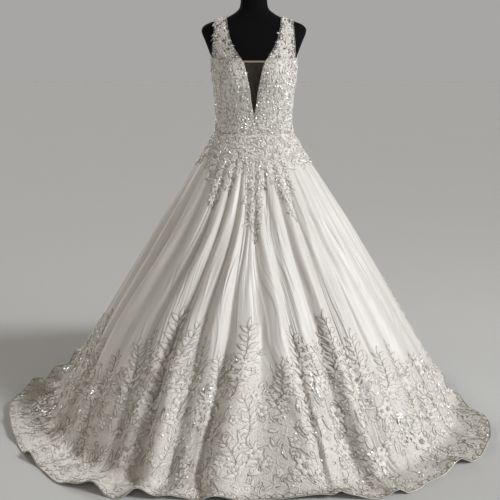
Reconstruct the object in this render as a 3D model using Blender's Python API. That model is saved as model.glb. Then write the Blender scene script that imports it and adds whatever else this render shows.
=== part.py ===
"""A-line wedding dress on a limbless dress form.

The dress is cloth walls round a hollow: a lace bodice with a deep plunge and a net insert,
open lace straps, a pleated satin skirt in five panels with a train, and the lace that spills
from the waist. Metres, +Z up. The front faces -Y and +X is on the viewer's right. The origin
is on the floor, under the middle of the stand's base.

Angles go round the figure from the middle of the front, towards +X. On the skirt, a place is
(fold, down): fold counts the pleats round the hem, with a crest at each whole number and a
valley half way, and down runs from 0 at the waist seam to 1 at the hem.
"""

import bmesh
import bpy
import numpy as np

SEAM_GAP = 0.0003
SATIN_WALL = 0.0018
BODICE_WALL = 0.0022
STRAP_WALL = 0.0020
NET_WALL = 0.0010
APPLIQUE_WALL = 0.0012
APPLIQUE_GAP = 0.0008
APPLIQUE_RISE = 0.0012
CLOTH_EASE = 0.0020
SHOULDER_EASE = 0.0016

WAIST_HEIGHT = 1.040
WAIST_SEAM = 0.0011
STRAP_SEAM_HEIGHT = 1.307
UNDERARM_HEIGHT = 1.283
ROUNDNESS = 2.2

FORM_COLUMNS = 36
CAP_HEIGHT = 0.020
CAP_ROUNDING = 0.004
POLE_COLUMNS = 20
POLE_RADIUS = 0.014
BASE_RADIUS = 0.160
BASE_THICKNESS = 0.012
HUB_RADIUS = 0.030
HUB_TOP = 0.040


def table(names, *rows):
    """A short table as one array for each named column."""
    return dict(zip(names.split(), np.array(rows, float).T))


FIGURE = table(
    "height half_width front back",
    (0.700, 0.150, 0.098, 0.112),
    (0.780, 0.160, 0.104, 0.124),
    (0.880, 0.162, 0.106, 0.124),
    (0.960, 0.152, 0.101, 0.112),
    (1.040, 0.1400, 0.1040, 0.1010),
    (1.090, 0.1345, 0.0990, 0.0930),
    (1.130, 0.1355, 0.1020, 0.0940),
    (1.170, 0.1395, 0.1070, 0.0980),
    (1.210, 0.1445, 0.1120, 0.1020),
    (1.245, 0.1490, 0.1150, 0.1060),
    (1.280, 0.1520, 0.1130, 0.1090),
    (1.307, 0.1540, 0.1080, 0.1100),
    (1.334, 0.1630, 0.1000, 0.1090),
    (1.370, 0.1770, 0.0840, 0.1000),
    (1.392, 0.1860, 0.0740, 0.0860),
    (1.407, 0.1880, 0.0660, 0.0760),
    (1.425, 0.1720, 0.0590, 0.0650),
    (1.437, 0.1400, 0.0550, 0.0590),
    (1.449, 0.0970, 0.0530, 0.0560),
    (1.457, 0.0810, 0.0520, 0.0550),
    (1.468, 0.0640, 0.0510, 0.0530),
    (1.479, 0.0530, 0.0500, 0.0520),
    (1.492, 0.0490, 0.0490, 0.0510),
    (1.545, 0.0490, 0.0490, 0.0500),
)
BUST_ANGLE = 33.0
BUST_HEIGHT = 1.232
BUST_DEPTH = 0.019
BUST_WIDTH = 23.0
BUST_DROP = 0.050

NECKLINE = table(
    "height front_edge",
    (1.100, 0.0000),
    (1.108, 0.0006),
    (1.156, 0.0091),
    (1.191, 0.0126),
    (1.227, 0.0196),
    (1.261, 0.0269),
    (1.290, 0.0357),
    (1.307, 0.0455),
)
BACK_NECKLINE = table(
    "height back_edge",
    (1.150, 0.0000),
    (1.165, 0.0060),
    (1.210, 0.0230),
    (1.260, 0.0400),
    (1.307, 0.0580),
)
ARMHOLE_SPAN = (0.84, 1.0)
SIDE_SEAM_TURN = 0.08
BODICE_COLUMNS = 11
INSERT_COLUMNS = 7
BODICE_ROWS = (0, 0.06, 0.13, 0.21, 0.3, 0.39, 0.48, 0.57, 0.66, 0.75, 0.84, 0.91, 0.965, 1)
INSERT_ROWS = slice(4, 13)

STRAP = table(
    "turn inner outer",
    (0, 0.0455, 0.1490),
    (14, 0.0620, 0.1500),
    (43, 0.0838, 0.1470),
    (80, 0.0955, 0.1400),
    (100, 0.0960, 0.1400),
    (137, 0.0870, 0.1450),
    (166, 0.0700, 0.1490),
    (180, 0.0580, 0.1490),
)
STRAP_LANES = 7
STRAP_ROWS = 31
GAP_SHARE = 0.42

WAIST_HALF_WIDTH = 0.1430
WAIST_FRONT = 0.1070
WAIST_BACK = 0.1040
SIDE_SPREAD = 0.606
FRONT_SPREAD = 0.652
BACK_SPREAD = 0.740
FRONT_SETTLE = 0.020
BACK_SETTLE = 0.100
FLOOR_CLEARANCE = 0.0015
FLOOR_SOFTNESS = 0.006
PLEATS_OPEN = (0.01, 0.30)
WAIST_TO_KNEE = (0.20, 0.55)
KNEE_TO_HEM = (0.50, 0.95)
HEM_LIFTS = (0.84, 1.00)

FOLDS = table(
    "at_waist at_knee at_hem waist_depth knee_depth hem_depth",
    (-172, -171, -172, 7, 12, 22),
    (-159, -158, -157, 8, 12, 12),
    (-146, -145, -144, 7, 13, 24),
    (-133, -132, -130, 8, 11, 12),
    (-120, -118, -117, 7, 13, 22),
    (-107, -105, -104, 8, 11, 12),
    (-94, -92, -93, 7, 11, 16),
    (-80, -80, -78, 8, 9, -8),
    (-66, -70, -67, 7, 9, 5),
    (-52, -60, -54, 8, 12, 24),
    (-38, -47, -43, 8, 9, -8),
    (-27, -35, -34, 8, 11, 10),
    (-17, -26, -24.5, 8, 12, 20),
    (-9, -14, -16, 4, 9, 3),
    (-2.5, -4.5, -8.5, 2, 7, 16),
    (4, 9, 13, 4, 8, 15),
    (15, 18.5, 20, 8, 6, -3),
    (26, 28.5, 29.5, 8, 11, 18),
    (36.5, 38, 38, 8, 8, 4),
    (47, 49, 48, 6, 9, 13),
    (58, 61.5, 60, 8, 11, 16),
    (70, 72, 72, 7, 8, 4),
    (82, 82, 84, 8, 11, 14),
    (94, 93, 95, 7, 11, 14),
    (107, 105, 106, 8, 12, 10),
    (120, 118, 118, 7, 12, 22),
    (133, 132, 131, 8, 11, 12),
    (146, 145, 145, 7, 13, 24),
    (159, 158, 157, 8, 12, 12),
    (172, 171, 172, 7, 12, 22),
)
FOLD_COUNT = len(FOLDS["at_waist"])
MILLIMETRE = 0.001

HEM = table(
    "angle reach lift",
    (-180, 1.230, 0.004),
    (-165, 1.180, 0.012),
    (-150, 1.060, 0.004),
    (-135, 0.955, 0.010),
    (-120, 0.885, 0.006),
    (-109, 0.865, 0.020),
    (-99, 0.868, 0.026),
    (-91, 0.900, 0.030),
    (-82, 0.935, 0.026),
    (-72, 0.930, 0.018),
    (-60, 0.926, 0.004),
    (-48, 0.922, 0.002),
    (-42, 0.930, 0.000),
    (-34, 0.900, 0.026),
    (-28, 0.893, 0.002),
    (-21, 0.850, 0.024),
    (-15, 0.822, 0.002),
    (-4, 0.806, 0.000),
    (6, 0.800, 0.004),
    (13, 0.810, 0.000),
    (18, 0.832, 0.024),
    (24, 0.865, 0.002),
    (32, 0.892, 0.002),
    (42, 0.887, 0.004),
    (48, 0.897, 0.020),
    (54, 0.918, 0.002),
    (64, 0.920, 0.012),
    (72, 0.896, 0.020),
    (79, 0.835, 0.020),
    (88, 0.775, 0.012),
    (100, 0.765, 0.008),
    (112, 0.790, 0.008),
    (124, 0.850, 0.006),
    (136, 0.935, 0.010),
    (150, 1.050, 0.004),
    (165, 1.175, 0.012),
)
ROWS_DOWN = (0, 0.035, 0.075, 0.12, 0.175, 0.24, 0.32, 0.44, 0.58, 0.71, 0.82, 0.91, 1)
SEEN_COLUMNS = 5
BACK_COLUMNS = 4

SKIRT_PANELS = (
    ("skirt_back_left", -0.5, 4.5, BACK_COLUMNS),
    ("skirt_side_left", 4.5, 10.5, SEEN_COLUMNS),
    ("skirt_front", 10.5, 17.5, SEEN_COLUMNS),
    ("skirt_side_right", 17.5, 24.5, SEEN_COLUMNS),
    ("skirt_back_right", 24.5, 29.5, BACK_COLUMNS),
)

WAIST_LACE_EDGE = table(
    "angle height",
    (-180, 0.950),
    (-152, 0.890),
    (-125, 0.950),
    (-100, 0.915),
    (-75, 0.945),
    (-50, 0.925),
    (-40, 0.880),
    (-33, 0.790),
    (-26, 0.860),
    (-19, 0.862),
    (-12, 0.925),
    (-7, 0.915),
    (-5, 0.800),
    (-1, 0.718),
    (3, 0.722),
    (6, 0.800),
    (9, 0.915),
    (14, 0.900),
    (19, 0.868),
    (22, 0.850),
    (26, 0.780),
    (34, 0.870),
    (40, 0.935),
    (60, 0.925),
    (75, 0.945),
    (100, 0.915),
    (125, 0.950),
    (152, 0.890),
)
HEM_LACE_EDGE = table(
    "angle height",
    (-180, 0.300),
    (-160, 0.360),
    (-140, 0.290),
    (-120, 0.350),
    (-100, 0.280),
    (-80, 0.340),
    (-60, 0.270),
    (-46, 0.260),
    (-33, 0.370),
    (-27, 0.270),
    (-12, 0.230),
    (-5, 0.330),
    (3, 0.250),
    (10, 0.240),
    (20, 0.330),
    (27, 0.290),
    (42, 0.220),
    (62, 0.300),
    (80, 0.250),
    (100, 0.330),
    (120, 0.280),
    (140, 0.350),
    (160, 0.290),
)
WAIST_LACE_FOLDS = (
    ("waist_lace_back_left", -0.5, 6.5),
    ("waist_lace_front", 6.5, 22.5),
    ("waist_lace_back_right", 22.5, 29.5),
)
LOWEST_WAIST_LACE = 0.5
FOLD_WIDTH_AT_WAIST = 0.03
MOTIF_PITCH = 0.045


def curve(x, xs, ys):
    """A smooth curve through the points (xs, ys), held level past its ends."""
    slopes = np.gradient(ys, xs)
    x = np.clip(x, xs[0], xs[-1])
    i = np.clip(np.searchsorted(xs, x) - 1, 0, len(xs) - 2)
    step = xs[i + 1] - xs[i]
    s = (x - xs[i]) / step
    rise = ys[i + 1] - ys[i]
    bend = (slopes[i] * step - rise) * (1 - s) + (rise - slopes[i + 1] * step) * s
    return ys[i] + s * rise + s * (1 - s) * bend


def round_curve(angle, angles, values):
    """The same through a table that goes once round, in degrees."""
    angles = np.concatenate([angles - 360, angles, angles + 360])
    return curve((angle + 180) % 360 - 180, angles, np.tile(values, 3))


def smooth(x, start, end):
    """0 before start, 1 after end, and a soft S between them."""
    s = np.clip((x - start) / (end - start), 0, 1)
    return s * s * (3 - 2 * s)


def figure_radius(angle, height, grow=0.0):
    """Distance from the axis to the figure's skin, and grow outside it. Level rings are
    flattened ovals, with two soft swellings for the bust."""
    shoulder = grow * smooth(height, 1.33, 1.40)
    half_width, front, back = (
        curve(height - shoulder, FIGURE["height"], FIGURE[name]) + grow
        for name in ("half_width", "front", "back")
    )
    turn = np.radians(angle)
    depth = np.where(np.cos(turn) > 0, front, back)
    oval = np.abs(np.sin(turn) / half_width) ** ROUNDNESS
    oval = (oval + np.abs(np.cos(turn) / depth) ** ROUNDNESS) ** (-1 / ROUNDNESS)
    bust = np.exp(-(((np.abs(angle) - BUST_ANGLE) / BUST_WIDTH) ** 2))
    return oval + BUST_DEPTH * bust * np.exp(-(((height - BUST_HEIGHT) / BUST_DROP) ** 2))


def round_axis(angle, radius, height):
    turn = np.radians(angle)
    return np.stack([radius * np.sin(turn), -radius * np.cos(turn), height], axis=-1)


def figure_point(angle, height, grow=0.0):
    return round_axis(angle, figure_radius(angle, height, grow), height)


def angle_of(x, height, back):
    """The angle at which the figure's skin is x from its middle."""
    low, high = np.zeros_like(x), np.full_like(x, 89.0)
    for _ in range(40):
        middle = (low + high) / 2
        turn = 180 - middle if back else middle
        short = figure_radius(turn, height, CLOTH_EASE) * np.sin(np.radians(middle)) < x
        low, high = np.where(short, middle, low), np.where(short, high, middle)
    return 180 - low if back else low


def skirt_angle(fold, down):
    """The angle of a place on the skirt: the folds drift round as they fall."""
    places = np.arange(-3, FOLD_COUNT + 3)
    turns = 360.0 * (places // FOLD_COUNT)
    at_waist, at_knee, at_hem = (
        curve(fold, places, FOLDS[name][places % FOLD_COUNT] + turns)
        for name in ("at_waist", "at_knee", "at_hem")
    )
    to_knee, to_hem = smooth(down, *WAIST_TO_KNEE), smooth(down, *KNEE_TO_HEM)
    return at_waist + (at_knee - at_waist) * to_knee + (at_hem - at_knee) * to_hem


def fold_height(fold, down):
    """How far a pleat stands out of the skirt's plain form, with crests rounder than valleys."""
    places = np.arange(-3, FOLD_COUNT + 3)
    waist, knee, hem = (
        curve(fold, places, FOLDS[name][places % FOLD_COUNT]) * MILLIMETRE
        for name in ("waist_depth", "knee_depth", "hem_depth")
    )
    to_knee, to_hem = smooth(down, *WAIST_TO_KNEE), smooth(down, *KNEE_TO_HEM)
    depth = waist + (knee - waist) * to_knee + (hem - knee) * to_hem
    valley = np.abs(np.sin(np.pi * fold)) ** (2.8 - 0.8 * to_hem)
    return depth * smooth(down, *PLEATS_OPEN) * (1 - 2 * valley)


def skirt_point(fold, down):
    """A point of the skirt's inner face. Its line falls straight from the waist and bends
    softly out along the floor to the hem, and the folds stand out square to that line."""
    angle = skirt_angle(fold, down)
    turn = np.radians(angle)
    forward = np.cos(turn)
    in_front = forward > 0
    depth = np.where(in_front, WAIST_FRONT, WAIST_BACK)
    waist = np.abs(np.sin(turn) / WAIST_HALF_WIDTH) ** ROUNDNESS
    waist = (waist + np.abs(forward / depth) ** ROUNDNESS) ** (-1 / ROUNDNESS)
    reach = round_curve(angle, HEM["angle"], HEM["reach"])
    radius = waist + (reach - waist) * down
    spread = np.where(in_front, FRONT_SPREAD, BACK_SPREAD)
    spread = SIDE_SPREAD + (spread - SIDE_SPREAD) * forward**2
    settle = FRONT_SETTLE + (BACK_SETTLE - FRONT_SETTLE) * smooth(-forward, -0.3, 0.9)
    line = WAIST_HEIGHT - (radius - waist) / spread
    height = settle * np.logaddexp(0, line / settle)
    lean = 1 / (1 + np.exp(-line / settle)) / spread
    out = fold_height(fold, down) / np.hypot(lean, 1)
    radius = radius + out * lean
    lift = round_curve(angle, HEM["angle"], HEM["lift"]) * smooth(down, *HEM_LIFTS) ** 2
    height = height + out + lift
    height = (height + np.hypot(height, FLOOR_SOFTNESS)) / 2
    height = height + FLOOR_CLEARANCE * (1 - smooth(height, 0.2, WAIST_HEIGHT))
    return round_axis(angle, radius, height)


def square_to(surface, across, down, step=1e-4):
    """The unit direction square to a surface, on the side away from the axis and the floor."""
    along = surface(across + step, down) - surface(across - step, down)
    fall = surface(across, down + step) - surface(across, down - step)
    normal = np.cross(along, fall)
    normal /= np.linalg.norm(normal, axis=-1, keepdims=True)
    away = surface(across, down)
    away[..., 2] = np.linalg.norm(away[..., :2], axis=-1)
    return normal * np.sign((normal * away).sum())


def motif_rise(place):
    """Rise of thick lace: petals in rows a motif apart, from 0 to APPLIQUE_RISE."""
    x, y, z = np.moveaxis(place, -1, 0)
    round_it = np.arctan2(x, -y) * np.hypot(x, y) / MOTIF_PITCH
    up = z / MOTIF_PITCH
    petals = np.sin(2 * np.pi * (round_it + 0.5 * up)) * np.sin(2 * np.pi * (up - 0.3 * round_it))
    return APPLIQUE_RISE * (0.5 + 0.5 * petals)


def material(name, colour, roughness, metallic=0.0):
    made = bpy.data.materials.new(name)
    made.use_nodes = True
    shader = made.node_tree.nodes["Principled BSDF"]
    shader.inputs["Base Color"].default_value = (*colour, 1)
    shader.inputs["Roughness"].default_value = roughness
    shader.inputs["Metallic"].default_value = metallic
    return made


def add_object(name, points, faces, finish):
    """A mesh as an object, with doubled points merged and its faces turned outwards."""
    mesh = bpy.data.meshes.new(name)
    mesh.from_pydata(np.reshape(points, (-1, 3)).tolist(), [], faces)
    shape = bmesh.new()
    shape.from_mesh(mesh)
    bmesh.ops.remove_doubles(shape, verts=shape.verts, dist=1e-6)
    bmesh.ops.dissolve_degenerate(shape, edges=shape.edges, dist=1e-6)
    loose = [vertex for vertex in shape.verts if not vertex.link_faces]
    bmesh.ops.delete(shape, geom=loose, context="VERTS")
    if shape.calc_volume(signed=True) < 0:
        bmesh.ops.reverse_faces(shape, faces=shape.faces)
    shape.to_mesh(mesh)
    shape.free()
    mesh.materials.append(finish)
    mesh.shade_smooth()
    mesh.set_sharp_from_angle(angle=np.radians(50))
    made = bpy.data.objects.new(name, mesh)
    bpy.context.scene.collection.objects.link(made)
    return made


def wall(name, inner, outer, finish, keep=None):
    """A closed cloth wall between two grids of points. keep says which cells are cloth: the
    others are open, and every open edge gets its rim."""
    rows, columns = inner.shape[:2]
    if keep is None:
        keep = np.ones((rows - 1, columns - 1), bool)
    points = np.concatenate([inner.reshape(-1, 3), outer.reshape(-1, 3)])
    far = rows * columns
    padded = np.pad(keep, 1)
    faces = []
    for row, column in zip(*np.nonzero(keep)):
        a = int(row * columns + column)
        corners = (a, a + 1, a + 1 + columns, a + columns)
        neighbours = (
            padded[row, column + 1],
            padded[row + 1, column + 2],
            padded[row + 2, column + 1],
            padded[row + 1, column],
        )
        for corner in (1, 2):
            half = (corners[0], corners[corner], corners[corner + 1])
            faces.append(half[::-1])
            faces.append(tuple(point + far for point in half))
        for side, neighbour in enumerate(neighbours):
            if not neighbour:
                here, there = corners[side], corners[(side + 1) % 4]
                faces.append((here, there, there + far, here + far))
    return add_object(name, points, faces, finish)


def cloth(name, surface, across, down, thickness, finish, rise=None, keep=None):
    """A wall on a surface: its plain inner face is the surface, and its outer face lies a
    thickness outside it, plus the rise of what is sewn on it."""
    across, down = np.meshgrid(across, down)
    points, out = surface(across, down), square_to(surface, across, down)
    depth = np.full(across.shape, thickness) + (0 if rise is None else rise(across, down))
    return wall(name, points, points + depth[..., None] * out, finish, keep)


def turned(name, profile, columns, finish):
    """A round solid from (radius, height) pairs, bottom to top, closed at both ends."""
    profile = np.array(profile)
    angle, row = np.meshgrid(np.arange(columns) * 360 / columns, np.arange(len(profile)))
    return stacked(name, round_axis(angle, profile[row, 0], profile[row, 1]), finish)


def stacked(name, rings, finish):
    """A solid from closed rings of points, one above the other."""
    rows, columns = rings.shape[:2]
    faces = [tuple(range(columns))[::-1], tuple(range((rows - 1) * columns, rows * columns))]
    for row in range(rows - 1):
        for column in range(columns):
            a, b = row * columns + column, row * columns + (column + 1) % columns
            faces.append((a, b, b + columns, a + columns))
    return add_object(name, rings, faces, finish)


def build_form(cover, metal):
    heights = FIGURE["height"]
    angle, height = np.meshgrid(np.arange(FORM_COLUMNS) * 360 / FORM_COLUMNS - 180, heights)
    stacked("form_torso", figure_point(angle, height), cover)
    radius, low = FIGURE["half_width"][-1], heights[-1] + SEAM_GAP
    cap = (
        (radius - CAP_ROUNDING, low),
        (radius, low + CAP_ROUNDING),
        (radius, low + CAP_HEIGHT - 2 * CAP_ROUNDING),
        (0.6 * radius, low + CAP_HEIGHT),
    )
    turned("form_neck_cap", cap, FORM_COLUMNS, metal)
    pole = ((POLE_RADIUS, HUB_TOP + SEAM_GAP), (POLE_RADIUS, heights[0] - SEAM_GAP))
    turned("form_pole", pole, POLE_COLUMNS, metal)
    base = (
        (BASE_RADIUS, 0.0),
        (BASE_RADIUS, 0.6 * BASE_THICKNESS),
        (BASE_RADIUS - 0.5 * BASE_THICKNESS, BASE_THICKNESS),
        (HUB_RADIUS, 1.5 * BASE_THICKNESS),
        (1.5 * POLE_RADIUS, HUB_TOP),
    )
    turned("form_base", base, FORM_COLUMNS, metal)


def bodice_height(top, up):
    """The height of a place on the bodice, from its waist seam (0) to its top edge (1)."""
    low = WAIST_HEIGHT + WAIST_SEAM
    return low + (top - SEAM_GAP - low) * up


def bodice_panel(side, back):
    """The surface of one bodice panel: across runs from the neckline, or the middle, to the
    side seam, and up from the waist seam to the top edge."""

    def surface(across, up):
        armhole = smooth(across, *ARMHOLE_SPAN)
        top = STRAP_SEAM_HEIGHT - (STRAP_SEAM_HEIGHT - UNDERARM_HEIGHT) * armhole
        height = bodice_height(top, up)
        if back:
            edge = curve(height, BACK_NECKLINE["height"], BACK_NECKLINE["back_edge"])
        else:
            edge = curve(height, NECKLINE["height"], NECKLINE["front_edge"])
        start = angle_of(np.maximum(edge, SEAM_GAP / 2), height, back)
        end = 90 + (SIDE_SEAM_TURN if back else -SIDE_SEAM_TURN)
        angle = start + (end - start) * across
        return figure_point(side * angle, height, CLOTH_EASE)

    return surface


def build_bodice(lace):
    across = np.linspace(0, 1, BODICE_COLUMNS)
    for side, hand in ((-1, "left"), (1, "right")):
        for back, place in ((False, "front"), (True, "back")):
            surface = bodice_panel(side, back)

            def rise(across, up, surface=surface):
                off_the_seams = np.minimum(across, 1 - across) * np.minimum(up, 1 - up) > 1e-6
                return motif_rise(surface(across, up)) * off_the_seams

            name = f"bodice_{place}_{hand}"
            cloth(name, surface, across, BODICE_ROWS, BODICE_WALL, lace, rise)


def insert_surface(across, up):
    """The net insert: across from -1 to 1 between the two edges of the plunge."""
    height = bodice_height(STRAP_SEAM_HEIGHT, up)
    edge = curve(height, NECKLINE["height"], NECKLINE["front_edge"]) - 1.6 * SEAM_GAP
    angle = angle_of(np.abs(across) * edge, height, False) * np.sign(across)
    return figure_point(angle, height, CLOTH_EASE)


def strap_surface(side):
    """One strap over the shoulder. turn goes from the front seam (0) over the top to the back
    seam (180), and each point is where a line at that angle leaves the figure."""

    def surface(across, turn):
        inner = curve(turn, STRAP["turn"], STRAP["inner"])
        outer = curve(turn, STRAP["turn"], STRAP["outer"])
        x = side * (inner + (outer - inner) * across)
        rise, run = np.sin(np.radians(turn)), -np.cos(np.radians(turn))
        ease = CLOTH_EASE + (SHOULDER_EASE - CLOTH_EASE) * rise
        low, high = np.zeros_like(x), np.full_like(x, 0.25)
        for _ in range(40):
            reach = (low + high) / 2
            y, z = run * reach, STRAP_SEAM_HEIGHT + SEAM_GAP / 2 + rise * reach
            skin = figure_radius(np.degrees(np.arctan2(x, -y)), z, ease)
            inside = (np.hypot(x, y) < skin) & (z < FIGURE["height"][-1])
            low, high = np.where(inside, reach, low), np.where(inside, high, reach)
        return np.stack([x, y, z], axis=-1)

    return surface


def uneven_steps(count, share):
    """Grid lines from 0 to 1 that alternate a bar of lace with a gap."""
    widths = np.where(np.arange(count) % 2, share, 1 - share)
    return np.concatenate([[0], np.cumsum(widths) / widths.sum()])


def build_straps(lace):
    """Straps of open lace: an even net of bars with a gap in every second cell both ways,
    left closed near the top of the shoulder and at some motifs, where the lace is dense."""
    across = uneven_steps(STRAP_LANES, GAP_SHARE)
    turns = 180 * uneven_steps(STRAP_ROWS, GAP_SHARE)
    row, lane = np.meshgrid(np.arange(STRAP_ROWS), np.arange(STRAP_LANES), indexing="ij")
    gap = (row % 2 == 1) & (lane % 2 == 1)
    motif = (row + 2 * lane) % 7 == 0
    shoulder = np.abs(row - STRAP_ROWS // 2) < 2
    keep = ~(gap & ~motif & ~shoulder)
    for side, hand in ((-1, "left"), (1, "right")):
        cloth(f"strap_{hand}", strap_surface(side), across, turns, STRAP_WALL, lace, keep=keep)


def down_to(fold, height):
    """How far down the skirt a height lies, found by halving."""
    low, high = np.zeros_like(fold), np.ones_like(fold)
    for _ in range(30):
        middle = (low + high) / 2
        above = skirt_point(fold, middle)[..., 2] > height
        low, high = np.where(above, middle, low), np.where(above, high, middle)
    return low


def lace_depth(edge, fold):
    """How far down the skirt the edge of a lace runs, at each fold."""
    down = np.full_like(fold, 0.3)
    for _ in range(6):
        angle = skirt_angle(fold, down)
        down = down_to(fold, round_curve(angle, edge["angle"], edge["height"]))
    return down


def skirt_rise(fold, down):
    """The hem lace stands proud of the satin, from its leafy upper edge down to the hem."""
    start = lace_depth(HEM_LACE_EDGE, fold)
    lace = smooth(down, start - 0.03, start + 0.04)
    return lace * (APPLIQUE_RISE / 2 + motif_rise(skirt_point(fold, down)))


def panel_folds(first, last, columns):
    return np.linspace(first, last, int((last - first) * columns) + 1)


def skirt_panel(first, last):
    """The surface of the panel between two seams, half a seam gap short of each."""

    def surface(fold, down, step=1e-3):
        middle = (first + last) / 2
        seam = np.where(fold < middle, first, last)
        width = skirt_point(seam + step, down) - skirt_point(seam - step, down)
        gap = SEAM_GAP * step / np.linalg.norm(width, axis=-1)
        return skirt_point(middle + (fold - middle) * (1 - 2 * gap / (last - first)), down)

    return surface


def build_skirt(satin):
    for name, first, last, columns in SKIRT_PANELS:
        folds = panel_folds(first, last, columns)
        panel = skirt_panel(first, last)
        cloth(name, panel, folds, np.array(ROWS_DOWN), SATIN_WALL, satin, skirt_rise)


def build_waist_lace(lace):
    """Lace that spills from the waist over the pleats, made from the skirt's own points and
    moved out. Its lower edge follows WAIST_LACE_EDGE, and cells below that edge are left out."""
    down = np.array([row for row in ROWS_DOWN if row < LOWEST_WAIST_LACE])
    columns = np.concatenate([panel_folds(*panel[1:]) for panel in SKIRT_PANELS])
    columns = np.unique(np.round(columns, 6))
    trim = SEAM_GAP / FOLD_WIDTH_AT_WAIST
    for name, first, last in WAIST_LACE_FOLDS:
        folds = columns[(columns > first - trim) & (columns < last + trim)]
        across, fall = np.meshgrid(folds, down)
        end = lace_depth(WAIST_LACE_EDGE, across)
        above = fall[:-1] < end[:-1] - 1e-6
        keep = above[:, :-1] | above[:, 1:]
        fall = np.minimum(fall, end)
        across = np.clip(across, first + trim, last - trim)
        points, out = skirt_point(across, fall), square_to(skirt_point, across, fall)
        inside = SATIN_WALL + APPLIQUE_GAP
        outside = inside + APPLIQUE_WALL + motif_rise(points)
        wall(name, points + inside * out, points + outside[..., None] * out, lace, keep)


def main():
    for old in list(bpy.data.objects):
        bpy.data.objects.remove(old, do_unlink=True)
    satin = material("ivory_satin", (0.78, 0.76, 0.71), 0.38)
    lace = material("beaded_lace", (0.62, 0.59, 0.52), 0.55)
    net = material("sheer_net", (0.09, 0.07, 0.06), 0.80)
    cover = material("form_cover", (0.012, 0.012, 0.014), 0.75)
    metal = material("stand_metal", (0.05, 0.05, 0.05), 0.35, 0.9)
    build_form(cover, metal)
    build_bodice(lace)
    across = np.linspace(-1, 1, INSERT_COLUMNS)
    cloth("net_insert", insert_surface, across, BODICE_ROWS[INSERT_ROWS], NET_WALL, net)
    build_straps(lace)
    build_skirt(satin)
    build_waist_lace(lace)


main()
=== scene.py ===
# %% [markdown]
# # A beaded a-line wedding dress
# The object is a sleeveless gown on a dress form without limbs: a lace bodice with a deep
# plunge, open lace straps, a pleated satin skirt with a train, and embroidery round the hem.
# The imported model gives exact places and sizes. It could be shown as it is, but its cloth is
# coarse, so each cloth is made again here from the same measures, finer and with its creases.

import bpy
import numpy as np
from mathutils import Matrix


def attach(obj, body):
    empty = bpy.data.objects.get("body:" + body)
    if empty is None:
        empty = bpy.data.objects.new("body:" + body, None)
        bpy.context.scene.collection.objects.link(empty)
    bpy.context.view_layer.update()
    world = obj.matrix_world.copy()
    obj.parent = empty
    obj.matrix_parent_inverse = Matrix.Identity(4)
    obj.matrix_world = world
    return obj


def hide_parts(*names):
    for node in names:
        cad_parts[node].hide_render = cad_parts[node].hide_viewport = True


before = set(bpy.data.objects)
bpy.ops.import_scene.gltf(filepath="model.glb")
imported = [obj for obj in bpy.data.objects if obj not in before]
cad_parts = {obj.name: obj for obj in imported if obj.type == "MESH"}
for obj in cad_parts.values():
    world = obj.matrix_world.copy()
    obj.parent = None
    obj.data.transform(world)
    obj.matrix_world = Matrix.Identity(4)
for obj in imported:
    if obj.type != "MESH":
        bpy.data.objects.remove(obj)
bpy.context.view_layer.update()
scene = bpy.context.scene

# %% [markdown]
# ## Camera
# The photograph was taken from about three metres, at chin height, looking down a little, so
# the hem shows as a broad curve. A camera can be aimed with a constraint, but plain angles
# say more clearly where it looks: thirteen degrees below level.

# %% Camera
LOOK_DOWN = 13.0
camera_data = bpy.data.cameras.new("photo_camera")
camera_data.lens = 57.6
camera_data.sensor_width = 36.0
camera = bpy.data.objects.new("photo_camera", camera_data)
camera.location = (-0.014, -2.979, 1.282)
camera.rotation_euler = (np.radians(90 - LOOK_DOWN), 0, 0)
scene.collection.objects.link(camera)
scene.camera = camera
print("camera at", tuple(camera.location))

# %% [markdown]
# ## Points, grids and pieces
# Every new piece is a grid of points worked out as whole arrays. Vertices could be added one
# by one, but arrays are faster and keep the shape in one formula. A helper turns the grid
# into a mesh, with a flat map in metres so that weave and net keep their real size.

# %% Pieces from arrays
def add_piece(name, points, faces, finish, flat=None):
    """A mesh piece from points (n, 3) and faces (m, 3 or 4), riding on the one body."""
    points = np.asarray(points, np.float32).reshape(-1, 3)
    faces = np.asarray(faces, np.int32)
    mesh = bpy.data.meshes.new(name)
    mesh.vertices.add(len(points))
    mesh.loops.add(faces.size)
    mesh.polygons.add(len(faces))
    mesh.vertices.foreach_set("co", points.ravel())
    mesh.loops.foreach_set("vertex_index", faces.ravel())
    mesh.polygons.foreach_set("loop_start", np.arange(len(faces), dtype=np.int32) * faces.shape[1])
    mesh.update(calc_edges=True)
    if flat is not None:
        layer = mesh.uv_layers.new(name="flat")
        corners = np.asarray(flat, np.float32).reshape(-1, 2)[faces.ravel()]
        layer.data.foreach_set("uv", corners.ravel())
    mesh.shade_smooth()
    mesh.materials.append(finish)
    piece = bpy.data.objects.new(name, mesh)
    scene.collection.objects.link(piece)
    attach(piece, "root")
    return piece


ALL = slice(None)


def grid_faces(rows, columns, keep=ALL):
    """The four-sided faces of a grid of points, row by row, anticlockwise from below."""
    row, column = np.meshgrid(np.arange(rows - 1), np.arange(columns - 1), indexing="ij")
    first = (row * columns + column)[keep].ravel()
    return np.stack([first, first + 1, first + 1 + columns, first + columns], axis=-1)


def halves(quads):
    """Each four-sided face as two triangles."""
    return np.concatenate([quads[:, [0, 1, 2]], quads[:, [0, 2, 3]]])


def run_length(points, axis):
    """Distance run along one axis of a grid of points, from its first line."""
    steps = np.linalg.norm(np.diff(points, axis=axis), axis=-1)
    start = np.zeros_like(np.take(steps, [0], axis=axis))
    return np.concatenate([start, np.cumsum(steps, axis=axis)], axis=axis)


def grid_normals(points):
    """Unit normals of a grid: the cross product of its steps across and its steps up."""
    normal = np.cross(np.gradient(points, axis=1), np.gradient(points, axis=0))
    return normal / np.linalg.norm(normal, axis=-1, keepdims=True)


# %% Curves through short tables
def table(names, *rows):
    """A short table as one array for each named column."""
    return dict(zip(names.split(), np.array(rows, float).T))


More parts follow.
